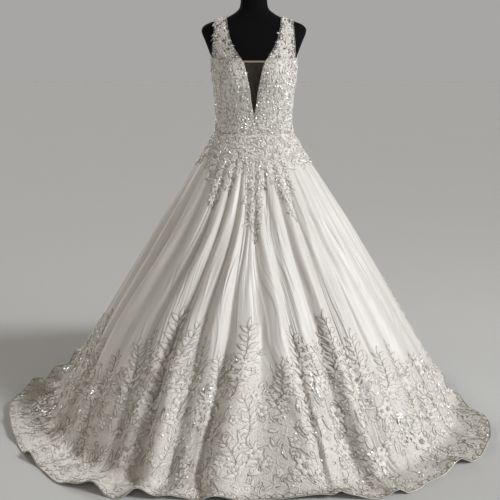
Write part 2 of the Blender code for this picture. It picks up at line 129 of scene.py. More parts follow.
def curve(x, xs, ys):
    """A smooth curve through (xs, ys): straight runs, bent at each end to the mean slope of
    the two neighbours, and level past the ends."""
    slopes = np.gradient(ys, xs)
    x = np.clip(x, xs[0], xs[-1])
    i = np.clip(np.searchsorted(xs, x) - 1, 0, len(xs) - 2)
    step = xs[i + 1] - xs[i]
    s = (x - xs[i]) / step
    rise = ys[i + 1] - ys[i]
    bend = (slopes[i] * step - rise) * (1 - s) + (rise - slopes[i + 1] * step) * s
    return ys[i] + s * rise + s * (1 - s) * bend


def read(rows, name, x):
    """A curve through one column of a table, against its first column."""
    first, *_ = rows.values()
    return curve(x, first, rows[name])


def read_round(rows, name, angle):
    """The same for a table that goes once round, in degrees."""
    angles = np.concatenate([rows["angle"] + turn for turn in (-360, 0, 360)])
    return curve((angle + 180) % 360 - 180, angles, np.tile(rows[name], 3))


def smooth(x, start, end):
    """0 before start, 1 after end, and 3s*s - 2s*s*s between them."""
    s = np.clip((x - start) / (end - start), 0, 1)
    return s * s * (3 - 2 * s)


def round_axis(angle, radius, height):
    """Points at an angle from the middle of the front, a radius and a height."""
    turn = np.radians(angle)
    return np.stack([radius * np.sin(turn), -radius * np.cos(turn), height], axis=-1)


def bearing(x, y):
    """The angle from the middle of the front, in degrees, at which a point lies."""
    return np.degrees(np.arctan2(x, -y))


# %% [markdown]
# ## Finishes
# Satin, lace, net, thread and glass share a few fine effects: woven threads, a net of holes
# and slow changes of tone. Each is a node group with its own inputs, built once. A picture
# could give the same look, but a formula stays sharp at any distance.

# %% Node helpers
def add_node(tree, kind, inputs=None, **settings):
    """A node with its settings, and its inputs as values or as sockets to link from."""
    node = tree.nodes.new("ShaderNode" + kind)
    for name, value in settings.items():
        setattr(node, name, value)
    for name, value in (inputs or {}).items():
        if isinstance(value, bpy.types.NodeSocket):
            tree.links.new(value, node.inputs[name])
        else:
            node.inputs[name].default_value = value
    return node


def calculate(tree, operation, *values, kind="Math"):
    """One step of arithmetic on values or sockets."""
    return add_node(tree, kind, dict(enumerate(values)), operation=operation).outputs[0]


def ramp(tree, value, low, high, shape="LINEAR"):
    """0 at low, 1 at high, and level past them."""
    inputs = {"Value": value, "From Min": low, "From Max": high}
    return add_node(tree, "MapRange", inputs, interpolation_type=shape).outputs["Result"]


def noise(tree, place, scale, detail=2.0):
    """A smooth noise: its value, and its colour, which is a noise for each direction."""
    made = add_node(tree, "TexNoise", {"Vector": place, "Scale": scale, "Detail": detail})
    return made.outputs["Fac"], made.outputs["Color"]


def mixed(tree, share, first, second):
    """A colour between two, by a share that is a value or a socket."""
    return add_node(tree, "Mix", {0: share, 6: first, 7: second}, data_type="RGBA").outputs[2]


SOCKETS = {float: "NodeSocketFloat", tuple: "NodeSocketColor", type(None): "NodeSocketVector"}


def new_group(name, inputs, output):
    """A node group. An input is a number, a colour or, where it has no value, a place. Its one
    output is a number, or a colour where it is named Color."""
    group = bpy.data.node_groups.new(name, "ShaderNodeTree")
    for socket, value in inputs.items():
        made = group.interface.new_socket(socket, in_out="INPUT", socket_type=SOCKETS[type(value)])
        if value is not None:
            made.default_value = value
    kind = SOCKETS[tuple if output == "Color" else float]
    group.interface.new_socket(output, in_out="OUTPUT", socket_type=kind)
    put = group.nodes.new("NodeGroupOutput").inputs[output]
    return group, group.nodes.new("NodeGroupInput").outputs, put


# %% Woven threads
weave, given, put = new_group("woven_threads", {"Place": None, "Threads": 2500.0}, "Height")
inputs = {"Vector": given["Place"], "Scale": given["Threads"], "Distortion": 0.6}
bands = [add_node(weave, "TexWave", inputs, bands_direction=way).outputs["Fac"] for way in "XY"]
weave.links.new(calculate(weave, "MAXIMUM", *bands), put)

# %% Slow changes of tone
inputs = {"Place": None, "Scale": 12.0, "Light": (1, 1, 1, 1), "Dark": (0, 0, 0, 1)}
drift, given, put = new_group("slow_tone", inputs, "Color")
cloud, _ = noise(drift, given["Place"], given["Scale"], 6.0)
drift.links.new(mixed(drift, cloud, given["Dark"], given["Light"]), put)


# %% A net of fine holes
def cell_edges(tree, place, cells, unevenness=1.0):
    """The distance to the nearest edge between flat cells."""
    inputs = {"Vector": place, "Scale": cells, "Randomness": unevenness}
    made = add_node(tree, "TexVoronoi", inputs, feature="DISTANCE_TO_EDGE", voronoi_dimensions="2D")
    return made.outputs["Distance"]


net_holes, given, put = new_group("net_holes", {"Place": None, "Cells": 700.0, "Thread": 0.1}, "Thread")
distance = cell_edges(net_holes, given["Place"], given["Cells"], 0.35)
net_holes.links.new(calculate(net_holes, "LESS_THAN", distance, given["Thread"]), put)

# %% Filigree, the small scrolls between the motifs
filigree, given, put = new_group("filigree", {"Place": None, "Cells": 90.0, "Wander": 0.012}, "Line")
_, wandering = noise(filigree, given["Place"], 55.0)
centred = calculate(filigree, "SUBTRACT", wandering, (0.5, 0.5, 0.5), kind="VectorMath")
bent = calculate(filigree, "MULTIPLY_ADD", centred, given["Wander"], given["Place"], kind="VectorMath")
distance = cell_edges(filigree, bent, given["Cells"])
filigree.links.new(ramp(filigree, distance, 0.16, 0.04, "SMOOTHSTEP"), put)

# %% [markdown]
# The satin has creases too fine for its mesh. They run along the pleats, so they read each
# point's pleat and its share of the way down, not its place in space. A slow noise leans
# them, a second noise raises them, and some get a crisp crest.

# %% Fine creases that follow the pleats
fine_folds, pleat, put = new_group("fine_folds", {"Pleat": None}, "Height")


def stretched_noise(place, stretch, detail):
    """Noise on a place stretched by its own amount each way."""
    far = calculate(fine_folds, "MULTIPLY", place, stretch, kind="VectorMath")
    return noise(fine_folds, far, 1.0, detail)[0]


lean = calculate(fine_folds, "SUBTRACT", stretched_noise(pleat[0], (0.45, 2.2, 1.0), 1.0), 0.5)
slant = add_node(fine_folds, "CombineXYZ", {"X": lean}).outputs[0]
leaning = calculate(fine_folds, "MULTIPLY_ADD", slant, (2.4, 0.0, 0.0), pleat[0], kind="VectorMath")
rise = stretched_noise(leaning, (3.4, 2.6, 1.0), 2.0)
offset = calculate(fine_folds, "ABSOLUTE", calculate(fine_folds, "SUBTRACT", rise, 0.5))
crest = ramp(fine_folds, offset, 0.12, 0.0, "SMOOTHERSTEP")
share = ramp(fine_folds, stretched_noise(pleat[0], (0.8, 3.0, 2.0), 1.0), 0.42, 0.62)
crisp = calculate(fine_folds, "MULTIPLY", crest, share)
fine_folds.links.new(calculate(fine_folds, "MULTIPLY_ADD", crisp, 0.34, rise), put)
print("node groups:", [group.name for group in bpy.data.node_groups])


# %% Finishes from the groups
def use_group(tree, group, **inputs):
    """A group placed in a material with its own values."""
    return add_node(tree, "Group", inputs, node_tree=group).outputs[0]


def flat_place(tree):
    """The piece's own flat map, in metres."""
    return add_node(tree, "UVMap", uv_map="flat").outputs["UV"]


def add_bump(material, height, strength, depth):
    """One more bump, over the bumps so far."""
    tree, shader = material.node_tree, material.node_tree.nodes["Principled BSDF"]
    inputs = {"Strength": strength, "Distance": depth, "Height": height}
    if shader.inputs["Normal"].is_linked:
        inputs["Normal"] = shader.inputs["Normal"].links[0].from_socket
    tree.links.new(add_node(tree, "Bump", inputs).outputs["Normal"], shader.inputs["Normal"])


def new_finish(name, roughness, light, dark, tone_scale, threads, depth, flat=False, **uniform):
    """A material whose colour drifts between two tones, with its weave as a bump, in space or
    on the flat map. uniform sets plain sockets by name."""
    made = bpy.data.materials.new(name)
    made.use_nodes = True
    tree, shader = made.node_tree, made.node_tree.nodes["Principled BSDF"]
    for socket, value in {"Roughness": roughness, **uniform}.items():
        shader.inputs[socket.replace("_", " ")].default_value = value
    place = flat_place(tree) if flat else add_node(tree, "TexCoord").outputs["Object"]
    tone = use_group(tree, drift, Place=place, Scale=tone_scale, Light=(*light, 1), Dark=(*dark, 1))
    tree.links.new(tone, shader.inputs["Base Color"])
    add_bump(made, use_group(tree, weave, Place=place, Threads=threads), 0.25, depth)
    return made


def add_filigree(material, cover, ground, thread, depth, cells):
    """Fine scrolls of thread on net, over the finish so far, where cover says."""
    tree = material.node_tree
    colour = tree.nodes["Principled BSDF"].inputs["Base Color"]
    scroll = use_group(tree, filigree, Place=flat_place(tree), Cells=cells)
    lace_colour = mixed(tree, scroll, (*ground, 1), (*thread, 1))
    tree.links.new(mixed(tree, cover, colour.links[0].from_socket, lace_colour), colour)
    add_bump(material, calculate(tree, "MULTIPLY", scroll, cover), 0.5, depth)


def add_holes(material, cells, thread):
    """Holes through a net, between threads that fill a share of each cell."""
    tree = material.node_tree
    holes = use_group(tree, net_holes, Place=flat_place(tree), Cells=cells, Thread=thread)
    tree.links.new(holes, tree.nodes["Principled BSDF"].inputs["Alpha"])


# %% Cloth, thread and net
SATIN = {"Sheen_Weight": 0.25, "Sheen_Roughness": 0.4}
satin = new_finish(
    "ivory_satin", 0.40, (0.80, 0.785, 0.755), (0.74, 0.72, 0.68), 9.0, 900.0, 0.0002, True, **SATIN
)
tree = satin.node_tree
pleat = add_node(tree, "Attribute", attribute_name="pleat_place").outputs["Vector"]
add_bump(satin, use_group(tree, fine_folds, Pleat=pleat), 0.8, 0.0075)
cover = add_node(tree, "Attribute", attribute_name="lace_cover").outputs["Fac"]
add_filigree(satin, cover, (0.64, 0.615, 0.56), (0.83, 0.81, 0.765), 0.0009, 95.0)

DULL = {"Sheen_Weight": 0.2}
lace_ground = new_finish(
    "lace_ground", 0.6, (0.88, 0.86, 0.80), (0.42, 0.385, 0.32), 90.0, 500.0, 0.0004, True, **DULL
)
add_filigree(lace_ground, 0.7, (0.30, 0.27, 0.22), (0.86, 0.84, 0.785), 0.0012, 150.0)
embroidery = new_finish(
    "embroidery", 0.45, (0.93, 0.915, 0.88), (0.76, 0.735, 0.68), 110.0, 700.0, 0.0003, **DULL
)
cord = new_finish(
    "pewter_cord", 0.34, (0.72, 0.68, 0.60), (0.17, 0.15, 0.115), 38.0, 900.0, 0.0003, Metallic=0.45
)
sheer = new_finish(
    "sheer_net", 0.7, (0.115, 0.092, 0.072), (0.085, 0.068, 0.054), 40.0, 900.0, 0.0001, True
)
add_holes(sheer, 1400.0, 0.085)
net_binding = new_finish(
    "net_binding", 0.6, (0.36, 0.30, 0.25), (0.28, 0.23, 0.19), 60.0, 900.0, 0.0001, True
)
tulle = new_finish("ivory_tulle", 0.6, (0.80, 0.78, 0.74), (0.66, 0.63, 0.58), 60.0, 900.0, 0.0001, True)
add_holes(tulle, 600.0, 0.07)

# %% Glass, sequins and the form
GLASS = {"Coat_Weight": 0.6, "Specular_IOR_Level": 0.8}
bead_glass = new_finish(
    "glass_beads", 0.12, (0.97, 0.965, 0.95), (0.56, 0.535, 0.49), 300.0, 200.0, 0.0001, **GLASS
)
FOIL = {"Metallic": 0.16, "Coat_Weight": 1.0, "Coat_Roughness": 0.14}
sequin = new_finish(
    "clear_sequins", 0.22, (0.99, 0.985, 0.965), (0.95, 0.94, 0.91), 300.0, 200.0, 0.0001, **FOIL
)
MATT = {"Specular_IOR_Level": 0.12}
form_cloth = new_finish(
    "black_jersey", 0.9, (0.0045, 0.0045, 0.005), (0.0025, 0.0025, 0.003), 30.0, 900.0, 0.0003, **MATT
)
stand_metal = new_finish(
    "painted_metal", 0.38, (0.05, 0.05, 0.052), (0.03, 0.03, 0.031), 60.0, 60.0, 0.00005, Metallic=0.6
)
print("materials:", [made.name for made in bpy.data.materials])

# %% [markdown]
# ## The dress form
# Under the dress stands a padded form in black jersey, without arms or head, on a metal pole.
# Its level rings are flattened ovals with two soft swellings for the bust. The pole and the
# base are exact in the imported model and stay. The torso is made again with finer rings.

# %% The figure's measures
FIGURE = table(
    "height half_width front back",
    (0.7, 0.15, 0.098, 0.112), (0.78, 0.16, 0.104, 0.124), (0.88, 0.162, 0.106, 0.124),
    (0.96, 0.152, 0.101, 0.112), (1.04, 0.14, 0.104, 0.101), (1.09, 0.1345, 0.099, 0.093),
    (1.13, 0.1355, 0.102, 0.094), (1.17, 0.1395, 0.107, 0.098), (1.21, 0.1445, 0.112, 0.102),
    (1.245, 0.149, 0.115, 0.106), (1.28, 0.152, 0.113, 0.109), (1.307, 0.154, 0.108, 0.11),
    (1.334, 0.163, 0.1, 0.109), (1.37, 0.177, 0.084, 0.1), (1.392, 0.186, 0.074, 0.086),
    (1.407, 0.188, 0.066, 0.076), (1.425, 0.172, 0.059, 0.065), (1.437, 0.14, 0.055, 0.059),
    (1.449, 0.097, 0.053, 0.056), (1.457, 0.081, 0.052, 0.055), (1.468, 0.064, 0.051, 0.053),
    (1.479, 0.053, 0.05, 0.052), (1.492, 0.049, 0.049, 0.051), (1.545, 0.049, 0.049, 0.05),
)
ROUNDNESS = 2.2
BUST_ANGLE = 33.0
BUST_HEIGHT = 1.232
BUST_DEPTH = 0.019
BUST_WIDTH = 23.0
BUST_DROP = 0.050
CLOTH_EASE = 0.002
SHOULDER_EASE = 0.0016
SHOULDER_SLOPE = (1.33, 1.40)


def oval_radius(angle, half_width, front, back):
    """Radius of a flattened oval: one over the root of the sum of the powers of
    sine over half width and cosine over depth."""
    turn = np.radians(angle)
    depth = np.where(np.cos(turn) > 0, front, back)
    side = np.abs(np.sin(turn) / half_width) ** ROUNDNESS
    return (side + np.abs(np.cos(turn) / depth) ** ROUNDNESS) ** (-1 / ROUNDNESS)


def figure_radius(angle, height, grow=0.0):
    """Distance from the axis to the skin, and grow outside it: the oval ring at that height
    and two bell-shaped swellings for the bust."""
    lift = grow * smooth(height, *SHOULDER_SLOPE)
    half_width, front, back = (
        read(FIGURE, name, height - lift) + grow for name in ("half_width", "front", "back")
    )
    bust = np.exp(-(((np.abs(angle) - BUST_ANGLE) / BUST_WIDTH) ** 2))
    bust = bust * np.exp(-(((height - BUST_HEIGHT) / BUST_DROP) ** 2))
    return oval_radius(angle, half_width, front, back) + BUST_DEPTH * bust


# %% The torso
FORM_COLUMNS = 112
WHOLE_FORM = np.linspace(0.70, 1.545, 60)
SHOULDERS = np.linspace(1.39, 1.50, 26)
form_rows = np.unique(np.concatenate([WHOLE_FORM, SHOULDERS]))
angle, height = np.meshgrid(np.linspace(-180, 180, FORM_COLUMNS + 1), form_rows)
ring = round_axis(angle, figure_radius(angle, height), height)[:, :-1]
row, column = divmod(grid_faces(len(form_rows), FORM_COLUMNS + 1), FORM_COLUMNS + 1)
sides = halves(row * FORM_COLUMNS + column % FORM_COLUMNS)
points = np.concatenate([ring.reshape(-1, 3), [ring[0].mean(axis=0), ring[-1].mean(axis=0)]])
here = np.arange(FORM_COLUMNS)
after = (here + 1) % FORM_COLUMNS
top = (len(form_rows) - 1) * FORM_COLUMNS
foot, crown = (np.full(FORM_COLUMNS, len(points) - back) for back in (2, 1))
low = np.stack([after, here, foot], axis=-1)
high = np.stack([top + here, top + after, crown], axis=-1)
triangles = np.concatenate([sides, low, high])
torso = add_piece("torso", points, triangles, form_cloth)
torso.data.set_sharp_from_angle(angle=np.radians(50))
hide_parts("form_torso")
for node in ("form_neck_cap", "form_pole", "form_base"):
    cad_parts[node].data.materials.clear()
    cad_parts[node].data.materials.append(stand_metal)
print("torso triangles:", len(triangles))

# %% [markdown]
# ## The satin skirt
# The skirt is cut in five gored panels and pleated all round into the waist. From there the
# pleats fall straight, open as they fall, and run out on the floor into a train. A cloth
# simulation could find such folds by itself, but not these very ones, so a table gives each
# pleat its angle and depth at the waist, the knee and the hem.

# %% The skirt's measures
WAIST_HEIGHT = 1.040
WAIST_HALF_WIDTH = 0.1430
WAIST_FRONT = 0.1070
WAIST_BACK = 0.1040
SIDE_SPREAD = 0.606
FRONT_SPREAD = 0.652
BACK_SPREAD = 0.740
FRONT_SETTLE = 0.020
BACK_SETTLE = 0.100
SETTLE_TURN = (-0.3, 0.9)
FLOOR_CLEARANCE = 0.0015
FLOOR_SOFTNESS = 0.006
CLEAR_ABOVE = 0.2
OFF_FLOOR = (0.004, 0.07)
PLEATS_OPEN = (0.01, 0.30)
WAIST_TO_KNEE = (0.20, 0.55)
KNEE_TO_HEM = (0.50, 0.95)
HEM_LIFTS = (0.84, 1.00)
FOLDS = table(
    "at_waist at_knee at_hem waist_depth knee_depth hem_depth",
    (-172, -171, -172, 7, 12, 22), (-159, -158, -157, 8, 12, 12),
    (-146, -145, -144, 7, 13, 24), (-133, -132, -130, 8, 11, 12),
    (-120, -118, -117, 7, 13, 22), (-107, -105, -104, 8, 11, 12),
    (-94, -92, -93, 7, 11, 16), (-80, -80, -78, 8, 9, -8),
    (-66, -70, -67, 7, 9, 5), (-52, -60, -54, 8, 12, 24),
    (-38, -47, -43, 8, 9, -8), (-27, -35, -34, 8, 11, 10),
    (-17, -26, -24.5, 8, 12, 20), (-9, -14, -16, 4, 9, 3),
    (-2.5, -4.5, -8.5, 2, 7, 16), (4, 9, 13, 4, 8, 15),
    (15, 18.5, 20, 8, 6, -3), (26, 28.5, 29.5, 8, 11, 18),
    (36.5, 38, 38, 8, 8, 4), (47, 49, 48, 6, 9, 13),
    (58, 61.5, 60, 8, 11, 16), (70, 72, 72, 7, 8, 4),
    (82, 82, 84, 8, 11, 14), (94, 93, 95, 7, 11, 14),
    (107, 105, 106, 8, 12, 10), (120, 118, 118, 7, 12, 22),
    (133, 132, 131, 8, 11, 12), (146, 145, 145, 7, 13, 24),
    (159, 158, 157, 8, 12, 12), (172, 171, 172, 7, 12, 22),
)
FOLD_COUNT = len(FOLDS["at_waist"])
MILLIMETRE = 0.001

# %% Where the hem lies
HEM = table(
    "angle reach lift",
    (-180, 1.23, 0.004), (-165, 1.18, 0.012), (-150, 1.06, 0.004), (-135, 0.955, 0.01),
    (-120, 0.885, 0.006), (-109, 0.865, 0.02), (-99, 0.868, 0.026), (-91, 0.9, 0.03),
    (-82, 0.935, 0.026), (-72, 0.93, 0.018), (-60, 0.926, 0.004), (-48, 0.922, 0.002),
    (-42, 0.93, 0), (-34, 0.9, 0.026), (-28, 0.893, 0.002), (-21, 0.85, 0.024),
    (-15, 0.822, 0.002), (-4, 0.806, 0), (6, 0.8, 0.004), (13, 0.81, 0),
    (18, 0.832, 0.024), (24, 0.865, 0.002), (32, 0.892, 0.002), (42, 0.887, 0.004),
    (48, 0.897, 0.02), (54, 0.918, 0.002), (64, 0.92, 0.012), (72, 0.896, 0.02),
    (79, 0.835, 0.02), (88, 0.775, 0.012), (100, 0.765, 0.008), (112, 0.79, 0.008),
    (124, 0.85, 0.006), (136, 0.935, 0.01), (150, 1.05, 0.004), (165, 1.175, 0.012),
)


# %% The skirt's surface
def pleat_measure(columns, fold, down, turn=0.0):
    """A measure of the pleats: a curve through the table at the waist, blended into those at
    the knee and then at the hem. turn is what it gains in one round."""
    places = np.arange(-3, FOLD_COUNT + 3)
    rounds, places_in = divmod(places, FOLD_COUNT)
    waist, knee, hem = (
        curve(fold, places, FOLDS[columns % level][places_in] + turn * rounds)
        for level in ("waist", "knee", "hem")
    )
    low, high = smooth(down, *WAIST_TO_KNEE), smooth(down, *KNEE_TO_HEM)
    return waist + (knee - waist) * low + (hem - knee) * high


def fold_height(fold, down):
    """How far a pleat stands out: its depth times one minus twice a power of the sine of the
    fold, which makes crests rounder than valleys."""
    depth = MILLIMETRE * pleat_measure("%s_depth", fold, down)
    valley = np.abs(np.sin(np.pi * fold)) ** (2.8 - 0.8 * smooth(down, *KNEE_TO_HEM))
    return depth * smooth(down, *PLEATS_OPEN) * (1 - 2 * valley)


def skirt_point(fold, down):
    """A straight line falls from the waist and bends softly out along the floor, as the
    logarithm of one plus an exponential does, and the folds stand out square to it."""
    angle = pleat_measure("at_%s", fold, down, 360.0)
    forward = np.cos(np.radians(angle))
    waist = oval_radius(angle, WAIST_HALF_WIDTH, WAIST_FRONT, WAIST_BACK)
    reach = read_round(HEM, "reach", angle)
    radius = waist + (reach - waist) * down
    spread = np.where(forward > 0, FRONT_SPREAD, BACK_SPREAD)
    spread = SIDE_SPREAD + (spread - SIDE_SPREAD) * forward**2
    settle = FRONT_SETTLE + (BACK_SETTLE - FRONT_SETTLE) * smooth(-forward, *SETTLE_TURN)
    line = WAIST_HEIGHT - (radius - waist) / spread
    height = settle * np.logaddexp(0, line / settle)
    lean = 1 / (1 + np.exp(-line / settle)) / spread
    out = fold_height(fold, down) / np.hypot(lean, 1)
    radius = radius + out * lean
    lift = read_round(HEM, "lift", angle) * smooth(down, *HEM_LIFTS) ** 2
    height = height + out + lift
    height = (height + np.hypot(height, FLOOR_SOFTNESS)) / 2
    height = height + FLOOR_CLEARANCE * (1 - smooth(height, CLEAR_ABOVE, WAIST_HEIGHT))
    return round_axis(angle, radius, height)


# %% [markdown]
# Smaller creases run between the pleats. Noise could make them all, but those in sight have
# places of their own in a table: fine ones down from the waist, then deep ones that swell
# towards the hem. The rest are drawn at random: long ones at the sides and the back, short
# sharp ones that slant across the front, and puckers low down, where stitches draw the satin.

# %% Creases between the pleats
SATIN_WALL = 0.0018
CREASES = table(
    "fold_top down_top fold_low down_low width depth peak",
    (13.45, 0.16, 13.55, 0.48, 0.1, 2.6, 0), (12.62, 0.2, 12.5, 0.62, 0.09, -2.2, 0),
    (12.3, 0.24, 12.36, 0.7, 0.07, 2.4, 0), (11.55, 0.2, 11.38, 0.6, 0.09, 2.8, 0),
    (10.6, 0.16, 10.3, 0.55, 0.1, -2.6, 0), (9.7, 0.2, 9.35, 0.66, 0.12, 3, 0),
    (8.5, 0.2, 8.3, 0.6, 0.12, -2.6, 0), (14.4, 0.14, 14.65, 0.5, 0.09, 2.2, 0),
    (15.35, 0.12, 15.5, 0.46, 0.09, 2.6, 0), (15.7, 0.26, 15.82, 0.72, 0.07, -2.2, 0),
    (16.4, 0.14, 16.3, 0.58, 0.1, 2.8, 0), (17.3, 0.2, 17.42, 0.66, 0.08, -2.4, 0),
    (17.62, 0.12, 17.75, 0.5, 0.09, 2.4, 0), (18.45, 0.2, 18.6, 0.62, 0.1, 3, 0),
    (19.4, 0.16, 19.3, 0.6, 0.1, -2.8, 0), (20.55, 0.22, 20.7, 0.68, 0.12, 3, 0),
    (12, 0.42, 12.06, 1.3, 0.3, 13, 1), (11.45, 0.46, 11.5, 1.3, 0.26, -9, 0.4),
    (14.2, 0.5, 13.72, 1.3, 0.28, 13, 1), (13.5, 0.44, 13.3, 1.3, 0.22, -13, 0.6),
    (13.02, 0.6, 12.96, 1.3, 0.2, -8, 0), (14.7, 0.52, 15.25, 1.3, 0.24, -14, 0.5),
    (15.6, 0.56, 15.74, 1.3, 0.2, 9, 0.8), (16.46, 0.54, 16.7, 1.3, 0.2, -13, 0.8),
    (17, 0.5, 17.1, 1.3, 0.3, 10, 0.8), (17.7, 0.62, 17.6, 1.3, 0.16, -6, 0),
    (18.4, 0.5, 18.2, 1.3, 0.24, 7, 0.6), (18.9, 0.6, 18.8, 1.3, 0.16, -6, 0),
    (19.5, 0.5, 19.6, 1.3, 0.16, -6, 0), (10.7, 0.44, 10.6, 1.3, 0.24, -9, 0.4),
    (10, 0.46, 9.95, 1.3, 0.26, 10, 0.9), (9.25, 0.4, 9.2, 1.3, 0.2, 8, 0.7),
    (8.4, 0.46, 8.3, 1.3, 0.18, -8, 0), (9.5, 0.28, 9.4, 0.95, 0.34, 9, 0),
    (10.5, 0.3, 10.38, 0.85, 0.3, 8, 0), (18.55, 0.25, 18.6, 0.9, 0.34, 9, 0),
    (19.55, 0.25, 19.7, 0.9, 0.34, 8, 0), (20.5, 0.3, 20.6, 0.9, 0.34, 8, 0),
    (13.15, 0.14, 12.86, 0.66, 0.2, 5, 0.8), (12.2, 0.16, 11.7, 0.64, 0.22, -5, 0.2),
    (11.1, 0.18, 10.72, 0.7, 0.22, 5.5, 0.9), (10.1, 0.2, 9.6, 0.7, 0.22, -5, 0),
    (9.1, 0.2, 8.8, 0.66, 0.2, 5, 0.8), (14.05, 0.22, 14, 0.7, 0.16, -4.5, 0.4),
    (14.9, 0.18, 15.1, 0.62, 0.2, 5, 0.9), (16.05, 0.18, 16.25, 0.66, 0.2, -5, 0.2),
    (16.8, 0.22, 17.05, 0.7, 0.2, 5, 0.8), (18.05, 0.2, 18.2, 0.72, 0.24, -4.5, 0),
    (19, 0.26, 19.1, 0.74, 0.22, 4.5, 0.8), (19.9, 0.22, 20.05, 0.74, 0.2, -4.5, 0),
)
TIP = 0.2
FADE_IN = (0, 0.35)
FADE_OUT = (0.6, 1)


def drawn_creases(seed, tops, starts, lean, ends, widths, depths, peaks, ends_from_start=True):
    """More creases, drawn at random from a seed. tops gives spans of folds, each with its count
    of creases, and the other measures are drawn between two limits."""
    draw = np.random.default_rng(seed)
    top = np.concatenate([draw.uniform(*span) for span in tops])
    count = len(top)
    start = draw.uniform(*starts, count)
    return {
        "fold_top": top,
        "down_top": start,
        "fold_low": top + draw.uniform(-lean, lean, count),
        "down_low": draw.uniform(*ends, count) + start * ends_from_start,
        "width": draw.uniform(*widths, count),
        "depth": draw.uniform(*depths, count) * draw.choice((-1, 1), count),
        "peak": draw.uniform(*peaks, count),
    }


hidden = drawn_creases(
    11, [(0, 8, 17), (21, 29, 17)], (0.08, 0.5), 0.35, (0.6, 1.3), (0.12, 0.24), (3, 8), (0, 1), False
)
slanting = drawn_creases(
    23, [(7.5, 21.5, 80)], (0.12, 0.6), 0.4, (0.14, 0.34), (0.07, 0.13), (1.8, 3.8), (0.3, 1)
)
slanting["depth"] *= 0.4 + slanting["down_top"]
puckers = drawn_creases(
    17, [(0, 29, 110)], (0.66, 1), 0.9, (0.07, 0.16), (0.07, 0.12), (2, 4.5), (0, 1)
)


def crease_height(fold, down):
    """Each crease fades in and out towards its two ends. Across its line it is a bell, or with
    peak 1 a sharp fold, the exponential of minus the distance, rounded at its tip."""
    total = np.zeros_like(fold)
    for creases in (CREASES, hidden, slanting, puckers):
        for top, start, low, end, width, depth, peak in zip(*(creases[name] for name in CREASES)):
            along = (down - start) / (end - start)
            middle = top + (low - top) * smooth(along, 0, 1)
            across = (fold - middle) / width
            bell = np.exp(-(across**2))
            sharp = np.exp(TIP - np.hypot(across, TIP))
            shape = bell + peak * (sharp - bell)
            fade = smooth(along, *FADE_IN) * (1 - smooth(along, *FADE_OUT))
            total += depth * MILLIMETRE * shape * fade
    return total


# %% The skirt as one fine grid
COLUMNS_PER_FOLD = 20
SKIRT_ROWS = 121
FOLD_START = -2.5
fold_line = np.linspace(FOLD_START, FOLD_COUNT + 1.5, (FOLD_COUNT + 4) * COLUMNS_PER_FOLD + 1)
down_line = np.linspace(1, 0, SKIRT_ROWS)
fold_grid, down_grid = np.meshgrid(fold_line, down_line)
skirt_skin = skirt_point(fold_grid, down_grid)
off_floor = smooth(skirt_skin[..., 2], *OFF_FLOOR)
stand_out = SATIN_WALL + crease_height(fold_grid % FOLD_COUNT, down_grid) * off_floor
skirt_outer = skirt_skin + stand_out[..., None] * grid_normals(skirt_skin)


def column_of(fold):
    """The grid column at a fold."""
    return (np.asarray(fold, float) - FOLD_START) * COLUMNS_PER_FOLD


def columns_between(first, last):
    """The grid columns from one fold to another."""
    return slice(int(column_of(first)), int(column_of(last)) + 1)


print("skirt grid:", skirt_outer.shape, "hem:", round(run_length(skirt_outer, 1)[0, -1], 2), "m")

# %% Where the lace ends
HEM_LACE_EDGE = table(
    "angle height",
    (-180, 0.3), (-160, 0.36), (-140, 0.29), (-120, 0.35), (-100, 0.28),
    (-80, 0.34), (-60, 0.27), (-46, 0.26), (-35, 0.37), (-27, 0.36),
    (-12, 0.32), (-5, 0.39), (3, 0.33), (10, 0.33), (15, 0.38),
    (20, 0.37), (27, 0.4), (34, 0.33), (42, 0.24), (62, 0.28),
    (80, 0.23), (100, 0.33), (120, 0.28), (140, 0.35), (160, 0.29),
)
WAIST_LACE_EDGE = table(
    "angle height",
    (-180, 0.95), (-152, 0.89), (-125, 0.95), (-100, 0.915), (-75, 0.945),
    (-50, 0.925), (-40, 0.88), (-33, 0.79), (-26, 0.86), (-19, 0.862),
    (-12, 0.925), (-7, 0.915), (-5, 0.8), (-1, 0.718), (3, 0.722),
    (6, 0.8), (9, 0.915), (14, 0.9), (19, 0.868), (22, 0.85),
    (26, 0.78), (34, 0.87), (40, 0.935), (60, 0.925), (75, 0.945),
    (100, 0.915), (125, 0.95), (152, 0.89),
)

# %% Plain places low on the skirt, between the lace and its border
PLAIN_PLACES = table(
    "fold half_width",
    (3, 0.8), (5.5, 0.8), (8.5, 0.6), (11, 1), (15.8, 0.6),
    (18.3, 0.9), (21.5, 0.9), (24.5, 0.9), (27.5, 0.9),
)


def plain_share(fold):
    """1 at a plain place and 0 away from them: a bell round each, and the highest counts."""
    total = np.zeros_like(fold)
    for middle, half_width in zip(PLAIN_PLACES["fold"], PLAIN_PLACES["half_width"]):
        total = np.maximum(total, np.exp(-(((fold % FOLD_COUNT - middle) / half_width) ** 2)))
    return total


PLAIN_STRENGTH = 0.6
PLAIN_FROM = (0.06, 0.11)
PLAIN_TO = (0.13, 0.21)
NET_STRENGTH = 0.75
HEM_NET_FADE = (0.005, 0.05)
WAIST_NET_FADE = (0, 0.02)
x, y, height = np.moveaxis(skirt_outer, -1, 0)
hem_edge, waist_edge = (
    read_round(edge, "height", bearing(x, y)) for edge in (HEM_LACE_EDGE, WAIST_LACE_EDGE)
)
plain_band = smooth(height, *PLAIN_FROM) * (1 - smooth(height, *PLAIN_TO))
plain_band = PLAIN_STRENGTH * plain_share(fold_grid) * plain_band
lace_cover = np.maximum(
    smooth(hem_edge - height, *HEM_NET_FADE), smooth(height - waist_edge, *WAIST_NET_FADE)
)
lace_cover = NET_STRENGTH * (1 - plain_band) * lace_cover
print("share of the satin under lace:", round((lace_cover > 0.1).mean(), 2))

